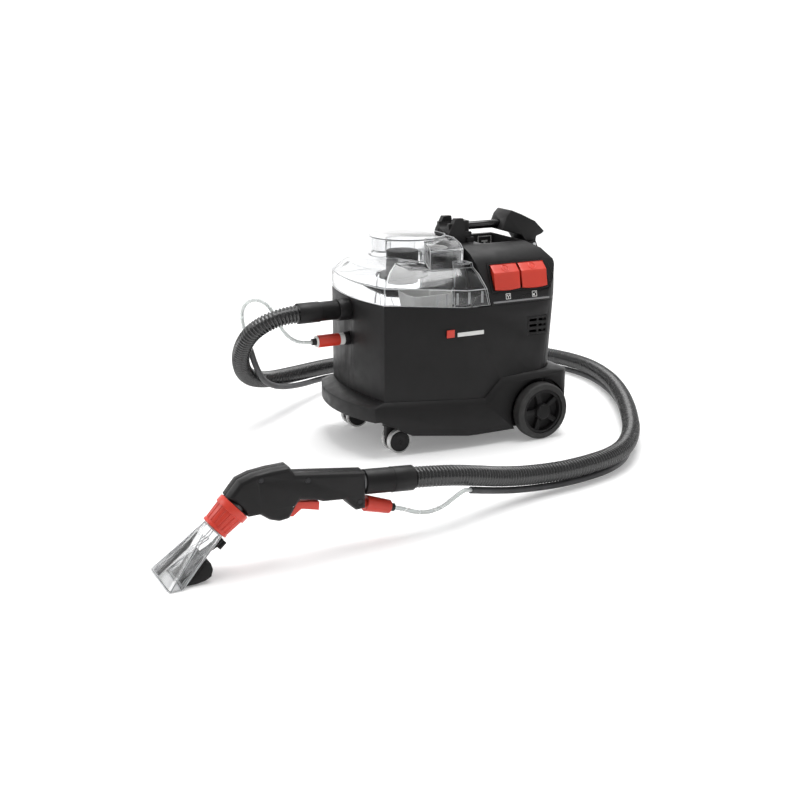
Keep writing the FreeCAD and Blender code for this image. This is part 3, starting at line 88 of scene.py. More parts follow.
# Stage
CAMERA_PLACE = (2.0502, -1.1205, 0.7487)
CAMERA_TIP = math.radians(73.6)
CAMERA_TURN = math.radians(62.8)
FLOOR_MIDDLE = (-12, 8, -0.0005)
FLOOR_SIZE = 60
BACKDROP_MIDDLE = (-3.3, 1.7, 4)
BACKDROP_WIDTH = 24
BACKDROP_HEIGHT = 8
BACKDROP_GLOW = 0.75
LIGHTS = (                      # name, place, size, power, point it faces
    ("top light", (-0.1, 0.3, 2.6), 2.0, 62, (0, 0, 0)),
    ("window light", (-0.6, -2.6, 1.6), 1.6, 24, (0, -0.2, 0.2)),
    ("fill light", (2.9, 1.4, 1.6), 1.2, 5, (0.1, 0, 0.2)))

# Stiffening fins on the inside of the lid's wall, at even turns round a centre
FIN_CENTRE_Y = -52 * MM
FIN_TURN = math.radians(9)
FIN_TURNS = range(-9, 28)
FIN_LOW = 284 * MM
FIN_HIGH = 306 * MM
FIN_DEPTH = 5 * MM
FIN_INSET = 0.4 * MM            # from the wall, so that the two never touch
FIN_THICKNESS = 1.1 * MM
FIN_LEAST_REACH = 90 * MM       # nearer walls belong to the lid's dome

# Rocker switches, on a panel that leans in
PANEL_X = 118 * MM
PANEL_Z = 326 * MM
PANEL_TILT = math.radians(24)
ROCKER_LENGTH = 58 * MM
ROCKER_HEIGHT = 50 * MM
ROCKER_BOW = 0.09 * ROCKER_HEIGHT / 2
CROWN_CUTS = 7
CROWN_BASE = 5 * MM
CROWN_TOP = 14 * MM
CREASE = ROCKER_HEIGHT / (CROWN_CUTS + 1)   # on a row of the crown's grid
SLOPE_ABOVE = 0.46              # fall of the faces above and below the crease
SLOPE_BELOW = 0.24
MARK_PLACE = (9.8 * MM, 0, 15.6 * MM)
MARK_RADIUS = 7.5 * MM
MARK_STROKE = 0.8 * MM

# Bands round the nozzle's nut: name, distance from its top, depth, radius (mm), slot, body
NUT_TOP = (463 * MM, -581 * MM, 97 * MM)
NUT_DIP = math.radians(41.4)    # the nozzle's axis points this far below horizontal
NUT_BORE = 19 * MM
NUT_BANDS = (("nut_collar", 0.3, 12, 26.2, "red_plastic", "nozzle_nut"),
             ("nut_foot", 40, 5, 22.0, "red_plastic", "nozzle_nut"),
             ("neck_seam", -0.9, 0.9, 23.5, "seal_rubber", "root"))

# Markings: (y, z) points in mm of the joint lines on the housing's near side, and strokes as
# (y, z, length, height) in mm of the signs
JOINT_LINES = (("joint_front", [(192, 350), (196, 330), (201, 300), (203, 281)]),
               ("joint_rear", [(203, 346), (208, 325), (213, 300), (215, 281)]))
JOINT_STEPS = 24
JOINT_RADIUS = 0.8 * MM
SIGN_LEAN = math.radians(-9.5)
SIGN_X = 132.45 * MM
SIGN_Z = 291 * MM
STROKE_THICKNESS = 0.5 * MM
SIGN_OUTLINE = [(0, 5, 10, 1), (0, -5, 10, 1), (5, 0, 1, 11), (-5, 0, 1, 11)]
SIGNS = (("symbol_suction", 100 * MM, [(0, -1.5, 1.6, 5), (-2.4, 1.8, 1.6, 3), (2.4, 1.8, 1.6, 3)]),
         ("symbol_spray", 160 * MM, [(-1.5, -1.5, 3.6, 3.6), (1.8, 1.8, 1.6, 1.6), (3.0, 3.4, 1, 1)]))
TAP_X = -55.8 * MM
TAP_STROKES = [(158, 378, 32, 1.4), (158, 340, 32, 1.4), (142.7, 359, 1.4, 38), (173.3, 359, 1.4, 38),
               (158, 357, 16, 6), (151, 352, 5, 8), (158, 363, 4, 8), (158, 368, 14, 3),
               (166, 357, 5, 10), (151, 345, 2.5, 3.5)]


# ---------------------------------------------------------------- sizes and colours
class CleanerFinish(bpy.types.PropertyGroup):
    black: bpy.props.FloatVectorProperty(
        name="Black", description="Moulded housing plastic", subtype="COLOR", size=3,
        default=(0.0085, 0.0080, 0.0083), min=0, max=1)
    red: bpy.props.FloatVectorProperty(
        name="Red", description="Switches, couplings, trigger and nozzle nut", subtype="COLOR", size=3,
        default=(0.60, 0.040, 0.020), min=0, max=1)
    grain: bpy.props.FloatProperty(
        name="Grain", description="Depth of the moulded grain", default=0.06 * MM, min=0, max=MM,
        unit="LENGTH")
    edge: bpy.props.FloatProperty(
        name="Edge radius", description="Rounding of the housing's edges", default=1.2 * MM, min=0,
        max=5 * MM, unit="LENGTH")


class CleanerHose(bpy.types.PropertyGroup):
    pitch: bpy.props.FloatProperty(
        name="Rib pitch", description="Distance from one turn of the spiral rib to the next",
        default=6.6 * MM, min=3 * MM, max=12 * MM, unit="LENGTH")
    depth: bpy.props.FloatProperty(
        name="Rib depth", description="Depth of the groove between ribs", default=3.0 * MM, min=0,
        max=4 * MM, unit="LENGTH")


class CleanerStage(bpy.types.PropertyGroup):
    floor: bpy.props.FloatVectorProperty(
        name="Floor", description="Colour of the floor and backdrop", subtype="COLOR", size=3,
        default=(0.86, 0.86, 0.86), min=0, max=1)
    glow: bpy.props.FloatProperty(
        name="Floor glow", description="Light given off by the floor, as by a lit table", default=0.2,
        min=0, max=1)
    sky: bpy.props.FloatProperty(
        name="Surrounding light", description="Strength of the even light from all round", default=0.42,
        min=0, max=2)
    lens: bpy.props.FloatProperty(
        name="Lens", description="Focal length of the camera", default=53.68, min=10, max=200,
        unit="CAMERA")


# ---------------------------------------------------------------- materials
class Shading:
    """One procedural material being wired up round its Principled shader."""

    def __init__(self, name, color, roughness):
        self.material = bpy.data.materials.new(name)
        self.material.use_nodes = True
        self.tree = self.material.node_tree
        self.shader = self.tree.nodes["Principled BSDF"]
        self.shader.inputs["Base Color"].default_value = (*color, 1)
        self.shader.inputs["Roughness"].default_value = roughness
        self.place = self.node("ShaderNodeTexCoord").outputs["Object"]

    def node(self, kind, **values):
        made = self.tree.nodes.new(kind)
        for key, value in values.items():
            setattr(made, key, value)
        return made

    def link(self, source, target):
        self.tree.links.new(source, target)

    def noise(self, scale, detail=3.0, stretch=(1, 1, 1)):
        """Noise on Object coordinates; scale is in cells per metre."""
        mapping = self.node("ShaderNodeMapping")
        mapping.inputs["Scale"].default_value = stretch
        self.link(self.place, mapping.inputs["Vector"])
        noise = self.node("ShaderNodeTexNoise")
        noise.inputs["Scale"].default_value = scale
        noise.inputs["Detail"].default_value = detail
        self.link(mapping.outputs["Vector"], noise.inputs["Vector"])
        return noise.outputs["Fac"]

    def spread(self, source, low, high, start=0.3, end=0.7):
        """Map a 0..1 value to a range."""
        ranged = self.node("ShaderNodeMapRange")
        for socket, value in (("From Min", start), ("From Max", end), ("To Min", low), ("To Max", high)):
            ranged.inputs[socket].default_value = value
        self.link(source, ranged.inputs["Value"])
        return ranged.outputs["Result"]

    def blend(self, factor, first, second):
        """Mix of two colours, each a colour or a socket."""
        mix = self.node("ShaderNodeMix", data_type="RGBA")
        self.link(factor, mix.inputs["Factor"])
        for socket, value in ((mix.inputs["A"], first), (mix.inputs["B"], second)):
            if isinstance(value, bpy.types.NodeSocket):
                self.link(value, socket)
            else:
                socket.default_value = (*value, 1)
        return mix.outputs["Result"]

    def bump(self, height, depth, strength=1.0):
        """Adds a bump over any that is there already."""
        bump = self.node("ShaderNodeBump")
        bump.inputs["Strength"].default_value = strength
        bump.inputs["Distance"].default_value = depth
        self.link(height, bump.inputs["Height"])
        normal = self.shader.inputs["Normal"]
        if normal.is_linked:
            self.link(normal.links[0].from_socket, bump.inputs["Normal"])
        self.link(bump.outputs["Normal"], normal)


def moulded(name, color, roughness, grain=0.0, variation=0.12, wear=0.25, gloss=0.5):
    """Moulded plastic: fine grain, patchy sheen and slightly polished, paler edges."""
    s = Shading(name, color, roughness)
    s.shader.inputs["Specular IOR Level"].default_value = gloss
    patches = s.noise(14, 4)
    darker = tuple(c * (1 - variation) for c in color)
    lighter = tuple(min(c * (1 + variation), 1) for c in color)
    body = s.blend(s.spread(patches, 0, 1), darker, lighter)
    edge = s.spread(s.node("ShaderNodeNewGeometry").outputs["Pointiness"], 0, wear, 0.51, 0.60)
    worn = tuple(min(c * 1.6 + 0.03, 1) for c in color)
    s.link(s.blend(edge, body, worn), s.shader.inputs["Base Color"])
    s.link(s.spread(s.noise(60, 5), roughness - 0.06, roughness + 0.08), s.shader.inputs["Roughness"])
    if grain:
        s.bump(s.noise(1500, 2), grain, 0.5)
    s.bump(s.noise(9, 2), 0.25 * MM, 0.25)
    return s.material


def clear(name, tint, roughness, index, ripple):
    """Clear moulded plastic with a faint ripple and rubbed patches."""
    s = Shading(name, tint, roughness)
    s.shader.inputs["Transmission Weight"].default_value = 1.0
    s.shader.inputs["IOR"].default_value = index
    rubbed = s.spread(s.noise(40, 6), roughness, roughness + 0.06, 0.45, 0.75)
    s.link(rubbed, s.shader.inputs["Roughness"])
    s.bump(s.noise(26, 2), ripple, 0.4)
    return s.material


def milky(name, tint, roughness, clearness):
    """Clear plastic clouded by the light scattered in it."""
    s = Shading(name, tint, roughness)
    s.shader.inputs["Transmission Weight"].default_value = clearness
    s.shader.inputs["IOR"].default_value = 1.4
    s.link(s.spread(s.noise(60, 4), roughness - 0.05, roughness + 0.1), s.shader.inputs["Roughness"])
    return s.material


def rubber(name, color, roughness):
    """Rubber with a dusty bloom and a fine matt grain."""
    s = Shading(name, color, roughness)
    bloom = tuple(min(c * 1.7 + 0.012, 1) for c in color)
    dusty = s.spread(s.noise(45, 6), 0, 0.6, 0.42, 0.7)
    s.link(s.blend(dusty, color, bloom), s.shader.inputs["Base Color"])
    s.link(s.spread(s.noise(90, 4), roughness - 0.06, roughness + 0.06), s.shader.inputs["Roughness"])
    s.bump(s.noise(1100, 3), 0.1 * MM, 0.5)
    return s.material


def metal(name, color, roughness, stretch):
    """Turned or drawn metal with fine streaks."""
    s = Shading(name, color, roughness)
    s.shader.inputs["Metallic"].default_value = 1.0
    streaks = s.noise(220, 5, stretch)
    s.link(s.blend(s.spread(streaks, 0, 1), tuple(c * 0.8 for c in color), color),
           s.shader.inputs["Base Color"])
    s.link(s.spread(streaks, roughness - 0.08, roughness + 0.12), s.shader.inputs["Roughness"])
    s.bump(streaks, 0.04 * MM, 0.4)
    return s.material


def make_finishes(finish):
    """Every finish by the record's slot name."""
    black, red = tuple(finish.black), tuple(finish.red)
    return {
        "black_plastic": moulded("moulded black", black, 0.44, finish.grain, gloss=0.24),
        "gloss_black": moulded("polished black", (0.006, 0.006, 0.0065), 0.16, 0, 0.05, 0.1),
        "red_plastic": moulded("moulded red", red, 0.36, finish.grain * 0.5, 0.07, 0.3),
        "clear_plastic": clear("clear shell", (0.93, 0.935, 0.94), 0.03, 1.45, 0.3 * MM),
        "white_plastic": moulded("white filter plastic", (0.78, 0.78, 0.76), 0.5, finish.grain, 0.05, 0.1),
        "grey_plastic": moulded("tank plastic", (0.20, 0.20, 0.205), 0.5, finish.grain, 0.1, 0.2),
        "seal_rubber": rubber("seal rubber", (0.012, 0.012, 0.012), 0.6),
        "tyre_rubber": rubber("tyre rubber", (0.020, 0.0195, 0.019), 0.62),
        "grey_rubber": rubber("pale tyre rubber", (0.46, 0.46, 0.455), 0.55),
        "steel": metal("drawn steel", (0.62, 0.62, 0.63), 0.3, (1, 14, 1)),
        "motor_metal": metal("motor can", (0.42, 0.42, 0.43), 0.38, (1, 1, 12)),
        "hose_plastic": moulded("hose plastic", (0.0075, 0.0075, 0.008), 0.24, 0, 0.15, 0.5, 0.8),
        "sleeve_rubber": rubber("sleeve rubber", (0.035, 0.035, 0.037), 0.5),
        "clear_tube": milky("clear tube", (0.80, 0.83, 0.82), 0.22, 0.45),
        "dark_steel": metal("blackened steel", (0.05, 0.05, 0.052), 0.45, (1, 14, 1)),
        # painted highlight: a whitish clouded finish that stands for the light gathered in clear edges and
        # fins
        "painted_edge_light": milky("painted edge light", (0.93, 0.94, 0.95), 0.35, 0.35),
    }


FINISHES = {}


def paint(obj, slot, finish=None):
    """Give an object its slot's finish, or another one."""
    obj.data.materials.clear()
    obj.data.materials.append(FINISHES[finish or slot])
    return obj


# ---------------------------------------------------------------- mesh helpers
def pick(obj):
    """Select only this object and make it active."""
    bpy.ops.object.select_all(action="DESELECT")
    obj.select_set(True)
    bpy.context.view_layer.objects.active = obj


def linked(name, data):
    """A new object with this data, in the scene."""
    obj = bpy.data.objects.new(name, data)
    bpy.context.scene.collection.objects.link(obj)
    return obj


def primitive(add, name, **values):
    """A new primitive, alone in the selection."""
    bpy.ops.object.select_all(action="DESELECT")
    add(**values)
    obj = bpy.context.view_layer.objects.active
    obj.name = name
    return obj


def modify(obj, kind, **values):
    """Apply one modifier with these settings for good."""
    pick(obj)
    modifier = obj.modifiers.new(kind.lower(), kind)
    for key, value in values.items():
        setattr(modifier, key, value)
    bpy.ops.object.modifier_apply(modifier=modifier.name)


def bevel(obj, width, segments=2, angle=32.0):
    """Round an object's sharp edges."""
    modify(obj, "BEVEL", width=width, segments=segments, limit_method="ANGLE",
           angle_limit=math.radians(angle), use_clamp_overlap=False)


def smooth(obj, angle=40.0):
    pick(obj)
    bpy.ops.object.shade_smooth_by_angle(angle=math.radians(angle))


def merged_copy(node, name):
    """A copy of a CAD node's mesh with its triangles welded into faces."""
    obj = linked(name, frame["nodes"][node].data.copy())
    pick(obj)
    bpy.ops.mesh.customdata_custom_splitnormals_clear()
    bpy.ops.object.mode_set(mode="EDIT")
    bpy.ops.mesh.select_all(action="SELECT")
    bpy.ops.mesh.remove_doubles(threshold=0.01 * MM)
    bpy.ops.mesh.dissolve_limited(angle_limit=math.radians(0.6))
    bpy.ops.object.mode_set(mode="OBJECT")
    return obj


def finished(node, width, segments=2, angle=32.0):
    """A CAD node's shape with rounded edges, standing in for the node."""
    obj = merged_copy(node, "finished_" + node)
    if width:
        bevel(obj, width, segments, angle)
    smooth(obj)
    paint(obj, SLOT_OF[node])
    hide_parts(node)
    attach(obj, BODY_OF[node])
    return obj


def edge_highlight_beads(node, name, radius, angle):
    """Round beads along a CAD node's sharp edges and within its box, in a whitish finish: painted highlights
    where light gathers in clear edges.
    """
    obj = merged_copy(node, name)
    pick(obj)
    bpy.ops.object.mode_set(mode="EDIT")
    bpy.ops.mesh.select_mode(type="EDGE")
    bpy.ops.mesh.select_all(action="DESELECT")
    bpy.ops.mesh.edges_select_sharp(sharpness=math.radians(angle))
    bpy.ops.mesh.mark_seam(clear=False)
    bpy.ops.mesh.select_all(action="SELECT")
    bpy.ops.mesh.delete(type="ONLY_FACE")
    bpy.ops.mesh.select_all(action="DESELECT")
    bpy.ops.object.mode_set(mode="OBJECT")
    for edge in obj.data.edges:
        edge.select = not edge.use_seam
    bpy.ops.object.mode_set(mode="EDIT")
    bpy.ops.mesh.delete(type="EDGE")
    bpy.ops.mesh.select_all(action="SELECT")
    bpy.ops.mesh.delete_loose(use_verts=True, use_edges=False, use_faces=False)
    bpy.ops.object.mode_set(mode="OBJECT")
    bpy.ops.object.convert(target="CURVE")
    obj.data.bevel_depth = radius
    obj.data.bevel_resolution = 1
    bpy.ops.object.convert(target="MESH")
    obj = bpy.context.view_layer.objects.active
    low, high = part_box(node)
    for vertex in obj.data.vertices:
        vertex.co = [min(max(value, least), most)
                     for value, least, most in zip(vertex.co, low, high)]
    smooth(obj, 60)
    # painted highlight: the beads take the whitish finish that stands for light gathered in clear edges
    paint(obj, SLOT_OF[node], "painted_edge_light")
    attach(obj, BODY_OF[node])
    return obj


def block(name, centre, size, turn=None, width=0.0, slot="black_plastic", body="root"):
    """A small moulded block: size along its own axes, turned and then placed."""
    obj = primitive(bpy.ops.mesh.primitive_cube_add, name, size=1)
    obj.data.transform(Matrix.Diagonal((*size, 1)))
    if width:
        bevel(obj, width, 2)
    obj.data.transform(Matrix.Translation(centre) @ (turn or Matrix.Identity(3)).to_4x4())
    smooth(obj)
    paint(obj, slot)
    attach(obj, body)
    return obj


def joined(name, parts):
    """Several pieces of one finish and body made one."""
    pick(parts[0])
    for part in parts[1:]:
        part.select_set(True)
    bpy.ops.object.join()
    parts[0].name = name
    return parts[0]


# ---------------------------------------------------------------- cords
def metres(route):
    return [Vector(point) * MM for point in route]


def sleeve_route():
    """Points beside the hose's route: behind and beside it at first, then straight below it."""
    points = [Vector(p) for p in HOSE_ROUTE]
    moved = []
    for i in range(SLEEVE_FIRST, SLEEVE_LAST + 1):
        along = ((points[i + 1] - points[i]).normalized()
                 + (points[i] - points[i - 1]).normalized()).normalized()
        order = i - SLEEVE_FIRST
        winding = order < len(SLEEVE_SIDES)
        side = Vector(SLEEVE_SIDES[order]) if winding else Vector((0, 0, -1))
        side = (side - along * side.dot(along)).normalized()
        gap = SLEEVE_GAP + (SLEEVE_TWIST_GAP if winding else 0.0)
        moved.append(points[i] + side * (HOSE_RADIUS + gap + SLEEVE_RADIUS))
    return moved


def cord_curve(name, route, radius):
    """A smooth NURBS cord with the route's points as its control points."""
    curve = bpy.data.curves.new(name, "CURVE")
    curve.dimensions = "3D"
    curve.resolution_u = 24
    spline = curve.splines.new("NURBS")
    spline.points.add(len(route) - 1)
    for point, place in zip(spline.points, metres(route)):
        point.co = (*place, 1)
    spline.order_u = 3
    spline.use_endpoint_u = True
    curve.bevel_depth = radius * MM
    curve.bevel_resolution = 5
    curve.use_fill_caps = True
    return linked(name, curve)


def centre_line(route):
    """Points read from the route's spline, and its length."""
    plain = cord_curve("line", route, 0)
    mesh = bpy.data.meshes.new_from_object(plain)
    points = [v.co.copy() for v in mesh.vertices]
    bpy.data.objects.remove(plain)
    return points, sum((b - a).length for a, b in zip(points, points[1:]))


def evenly(points, step):
    """Points at even steps along a line of points."""
    spaced, carried = [points[0]], 0.0
    for a, b in zip(points, points[1:]):
        run = (b - a).length
        while carried + run >= step * len(spaced):
            spaced.append(a.lerp(b, (step * len(spaced) - carried) / run))
        carried += run
    return spaced


def ribbed_tube(name, points, radius, depth, steps, sides=28):
    """A tube with a spiral rib along even points, so many steps to each turn of the rib."""
    vertices, faces = [], []
    side = Vector((0, 0, 1))
    last = len(points) - 1
    for i, point in enumerate(points):
        along = (points[min(i + 1, last)] - points[max(i - 1, 0)]).normalized()
        side = (side - along * side.dot(along)).normalized()
        across = along.cross(side)
        for j in range(sides):
            angle = 2 * math.pi * j / sides
            phase = 2 * math.pi * (i / steps) - angle
            wave = 0.5 - 0.5 * math.cos(phase)
            reach = radius - depth * wave ** RIB_SHARPNESS
            vertices.append(point + (side * math.cos(angle) + across * math.sin(angle)) * reach)
    for i in range(last):
        for j in range(sides):
            k = (j + 1) % sides
            faces.append((i * sides + j, (i + 1) * sides + j, (i + 1) * sides + k, i * sides + k))
    faces.append(tuple(reversed(range(sides))))
    faces.append(tuple(last * sides + j for j in range(sides)))
    mesh = bpy.data.meshes.new(name)
    mesh.from_pydata(vertices, [], faces)
    obj = linked(name, mesh)
    pick(obj)
    bpy.ops.object.mode_set(mode="EDIT")
    bpy.ops.mesh.select_all(action="SELECT")
    bpy.ops.mesh.normals_make_consistent(inside=False)
    bpy.ops.object.mode_set(mode="OBJECT")
    smooth(obj, 75)
    return obj


# ---------------------------------------------------------------- operators
class CLEANER_OT_stage(bpy.types.Operator):
    """Pale floor, soft lights and the camera"""
    bl_idname = "cleaner.stage"
    bl_label = "Stage"

    def execute(self, context):
        settings = context.scene.cleaner_stage
        self.floor(tuple(settings.floor), settings.glow)
        self.backdrop(tuple(settings.floor))
        self.lights()
        self.surroundings(context.scene, settings.sky)
        self.camera(context.scene, settings.lens)
        return {"FINISHED"}

    @staticmethod
    def glowing(name, color, roughness, glow):
        """A plain finish that gives off some white light."""
        s = Shading(name, color, roughness)
        s.shader.inputs["Emission Color"].default_value = (1, 1, 1, 1)
        s.shader.inputs["Emission Strength"].default_value = glow
        return s

    def floor(self, color, glow):
        floor = primitive(bpy.ops.mesh.primitive_plane_add, "floor", size=1)
        floor.data.transform(Matrix.Translation(FLOOR_MIDDLE)
                             @ Matrix.Diagonal((FLOOR_SIZE, FLOOR_SIZE, 1, 1)))
        s = self.glowing("floor", color, 0.7, glow)
        darker = tuple(c * 0.985 for c in color)
        s.link(s.blend(s.noise(2.5, 3), darker, color), s.shader.inputs["Base Color"])
        s.shader.inputs["Specular IOR Level"].default_value = 0.2
        floor.data.materials.append(s.material)

    def backdrop(self, color):
        """A pale wall behind the object, facing the camera."""
        backdrop = primitive(bpy.ops.mesh.primitive_plane_add, "backdrop", size=1)
        backdrop.data.transform(
            Matrix.Translation(BACKDROP_MIDDLE) @ Matrix.Rotation(CAMERA_TURN, 4, "Z")
            @ Matrix.Rotation(math.radians(90), 4, "X")
            @ Matrix.Diagonal((BACKDROP_WIDTH, BACKDROP_HEIGHT, 1, 1)))
        backdrop.data.materials.append(self.glowing("backdrop", color, 0.8, BACKDROP_GLOW).material)

    @staticmethod
    def lights():
        for name, place, size, power, aim in LIGHTS:
            data = bpy.data.lights.new(name, "AREA")
            data.shape = "DISK"
            data.size = size
            data.energy = power
            lamp = linked(name, data)
            lamp.location = place
            facing = Vector(aim) - Vector(place)
            lamp.rotation_euler = facing.to_track_quat("-Z", "Y").to_euler()

    @staticmethod
    def surroundings(scene, sky):
        """White all round: dim as a light, and full white where the camera sees it."""
        world = scene.world or bpy.data.worlds.new("studio")
        scene.world = world
        world.use_nodes = True
        tree = world.node_tree
        background = tree.nodes["Background"]
        background.inputs["Color"].default_value = (1, 1, 1, 1)
        seen = tree.nodes.new("ShaderNodeLightPath").outputs["Is Camera Ray"]
        strength = tree.nodes.new("ShaderNodeMapRange")
        strength.inputs["To Min"].default_value = sky
        strength.inputs["To Max"].default_value = 1.0
        tree.links.new(seen, strength.inputs["Value"])
        tree.links.new(strength.outputs["Result"], background.inputs["Strength"])

    @staticmethod
    def camera(scene, lens):
        data = bpy.data.cameras.new("camera")
        data.lens = lens
        camera = linked("camera", data)
        camera.location = CAMERA_PLACE
        camera.rotation_euler = (CAMERA_TIP, 0, CAMERA_TURN)
        scene.camera = camera
        scene.view_settings.view_transform = "Standard"


class CLEANER_OT_finishes(bpy.types.Operator):
    """Procedural finishes on every CAD node"""
    bl_idname = "cleaner.finishes"
    bl_label = "Finishes"

    def execute(self, context):
        FINISHES.update(make_finishes(context.scene.cleaner_finish))
        for node, obj in frame["nodes"].items():
            for slot in obj.material_slots:
                slot.material = FINISHES["dark_steel" if node == "screws" else SLOT_OF[node]]
        return {"FINISHED"}


class CLEANER_OT_housing(bpy.types.Operator):
    """Chassis, body and control housing with rounded edges"""
    bl_idname = "cleaner.housing"
    bl_label = "Housing"

    def execute(self, context):
        edge = context.scene.cleaner_finish.edge
        for node, share in (("chassis_base", 1.3), ("body_shell", 0.6), ("control_housing", 0.8),
                            ("switch_bezel", 0.6), ("vent_grille", 0.3)):
            finished(node, edge * share)
        return {"FINISHED"}


class CLEANER_OT_lid(bpy.types.Operator):
    """Clear lid with stiffening fins, and painted highlights for the light gathered in its edges and fins"""
    bl_idname = "cleaner.lid"
    bl_label = "Lid"

    def execute(self, context):
        lid = finished("lid_clear", 1.6 * MM, 2, 24)
        # painted highlights along the lid's sharp edges
        edge_highlight_beads("lid_clear", "lid_edge_highlights", 0.55 * MM, 24)
        centre = Vector((0, FIN_CENTRE_Y, 0))
        fins = []
        for step in FIN_TURNS:
            angle = -FIN_TURN * step
            out = Vector((math.cos(angle), math.sin(angle), 0))
            corners = []
            for height in (FIN_LOW, FIN_HIGH):
                found, wall, _, _ = lid.ray_cast(centre + Vector((0, 0, height)), out)
                if not found or (wall - centre).xy.length < FIN_LEAST_REACH:
                    break
                corners += [wall - out * FIN_DEPTH, wall - out * FIN_INSET]
            if len(corners) == 4:
                fins.append(self.fin(corners))
        fins = joined("lid_fins", fins)
        # painted highlight: the fins take the whitish finish that stands for light gathered in clear plastic
        paint(fins, "clear_plastic", "painted_edge_light")
        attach(fins, "lid")
        finished("float_cage", 0.6 * MM)
        finished("lint_filter", 0.8 * MM)
        return {"FINISHED"}

    @staticmethod
    def fin(corners):
        """A thin upright plate with these corners: inner and outer, low and then high."""
        fin = primitive(bpy.ops.mesh.primitive_plane_add, "fin", size=1)
        for vertex, corner in zip(fin.data.vertices, corners):
            vertex.co = corner
        modify(fin, "SOLIDIFY", thickness=FIN_THICKNESS, offset=0)
        return fin


class CLEANER_OT_switches(bpy.types.Operator):
    """Crowned rocker switches with a raised mark"""
    bl_idname = "cleaner.switches"
    bl_label = "Switches"

    def execute(self, context):
        for node, name in (("switch_suction", "rocker_suction"), ("switch_spray", "rocker_spray")):
            low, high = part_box(node)
            place = (Matrix.Translation((PANEL_X, (low.y + high.y) / 2, PANEL_Z))
                     @ Matrix.Rotation(-PANEL_TILT, 4, "Y"))
            rocker = self.crown(name)
            stem = self.cube((-1 * MM, 0, 0),
                             (12 * MM, ROCKER_LENGTH - 5 * MM, ROCKER_HEIGHT - 8 * MM))
            ring = self.mark_ring()
            bar = self.cube((0, 0, 0), (1.2 * MM, 1.4 * MM, 6.5 * MM))
            lean = Matrix.Translation(MARK_PLACE) @ Matrix.Rotation(-math.atan(SLOPE_ABOVE), 4, "Y")
            for mark in (ring, bar):
                mark.data.transform(lean)
            rocker = joined(name, [rocker, stem, ring, bar])
            rocker.data.transform(place)
            smooth(rocker, 24)
            paint(rocker, "red_plastic")
            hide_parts(node)
            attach(rocker, BODY_OF[node])
        return {"FINISHED"}

    @staticmethod
    def cube(centre, size):
        obj = primitive(bpy.ops.mesh.primitive_cube_add, "cube", size=1)
        obj.data.transform(Matrix.Translation(centre) @ Matrix.Diagonal((*size, 1)))
        bevel(obj, 0.3 * MM, 1)
        return obj

    @staticmethod
    def mark_ring():
        ring = primitive(bpy.ops.mesh.primitive_torus_add, "ring", major_radius=MARK_RADIUS,
                         minor_radius=MARK_STROKE, major_segments=32, minor_segments=8)
        ring.data.transform(Matrix.Rotation(math.radians(90), 4, "Y"))
        return ring

    @staticmethod
    def crown(name):
        """Cap whose faces meet in a crease above its middle; its lower edge bows down."""
        cap = primitive(bpy.ops.mesh.primitive_cube_add, name, size=1)
        bpy.ops.object.mode_set(mode="EDIT")
        bpy.ops.mesh.subdivide(number_cuts=CROWN_CUTS)
        bpy.ops.object.mode_set(mode="OBJECT")
        for vertex in cap.data.vertices:
            out, along, up = vertex.co
            bow = ROCKER_BOW * (1 - (2 * along) ** 2)
            height = up * ROCKER_HEIGHT - bow * max(-2 * up, 0)
            slope = SLOPE_ABOVE if height > CREASE else SLOPE_BELOW
            top = CROWN_TOP - abs(height - CREASE) * slope
            vertex.co = ((out + 0.5) * (top - CROWN_BASE) + CROWN_BASE, along * ROCKER_LENGTH, height)
        bevel(cap, 1.5 * MM, 3, 40)
        return cap


class CLEANER_OT_handle(bpy.types.Operator):
    """Carrying handle with rounded edges"""
    bl_idname = "cleaner.handle"
    bl_label = "Handle"

    def execute(self, context):
        for node, width in (("handle_bracket", 0.0), ("handle_grip", 2.0), ("handle_bar", 0.5)):
            finished(node, width * MM, 2, 30)
        return {"FINISHED"}


class CLEANER_OT_wheels(bpy.types.Operator):
    """Large wheels and twin casters"""
    bl_idname = "cleaner.wheels"
    bl_label = "Wheels"

    def execute(self, context):
        for side in ("left", "right"):
            for node, width in (("tyre", 0.0), ("rim", 0.7), ("hubcap", 0.0), ("caster_hood", 1.0),
                                ("caster_discs", 0.8), ("caster_tyres", 1.0)):
                finished(f"{node}_{side}", width * MM)
        return {"FINISHED"}


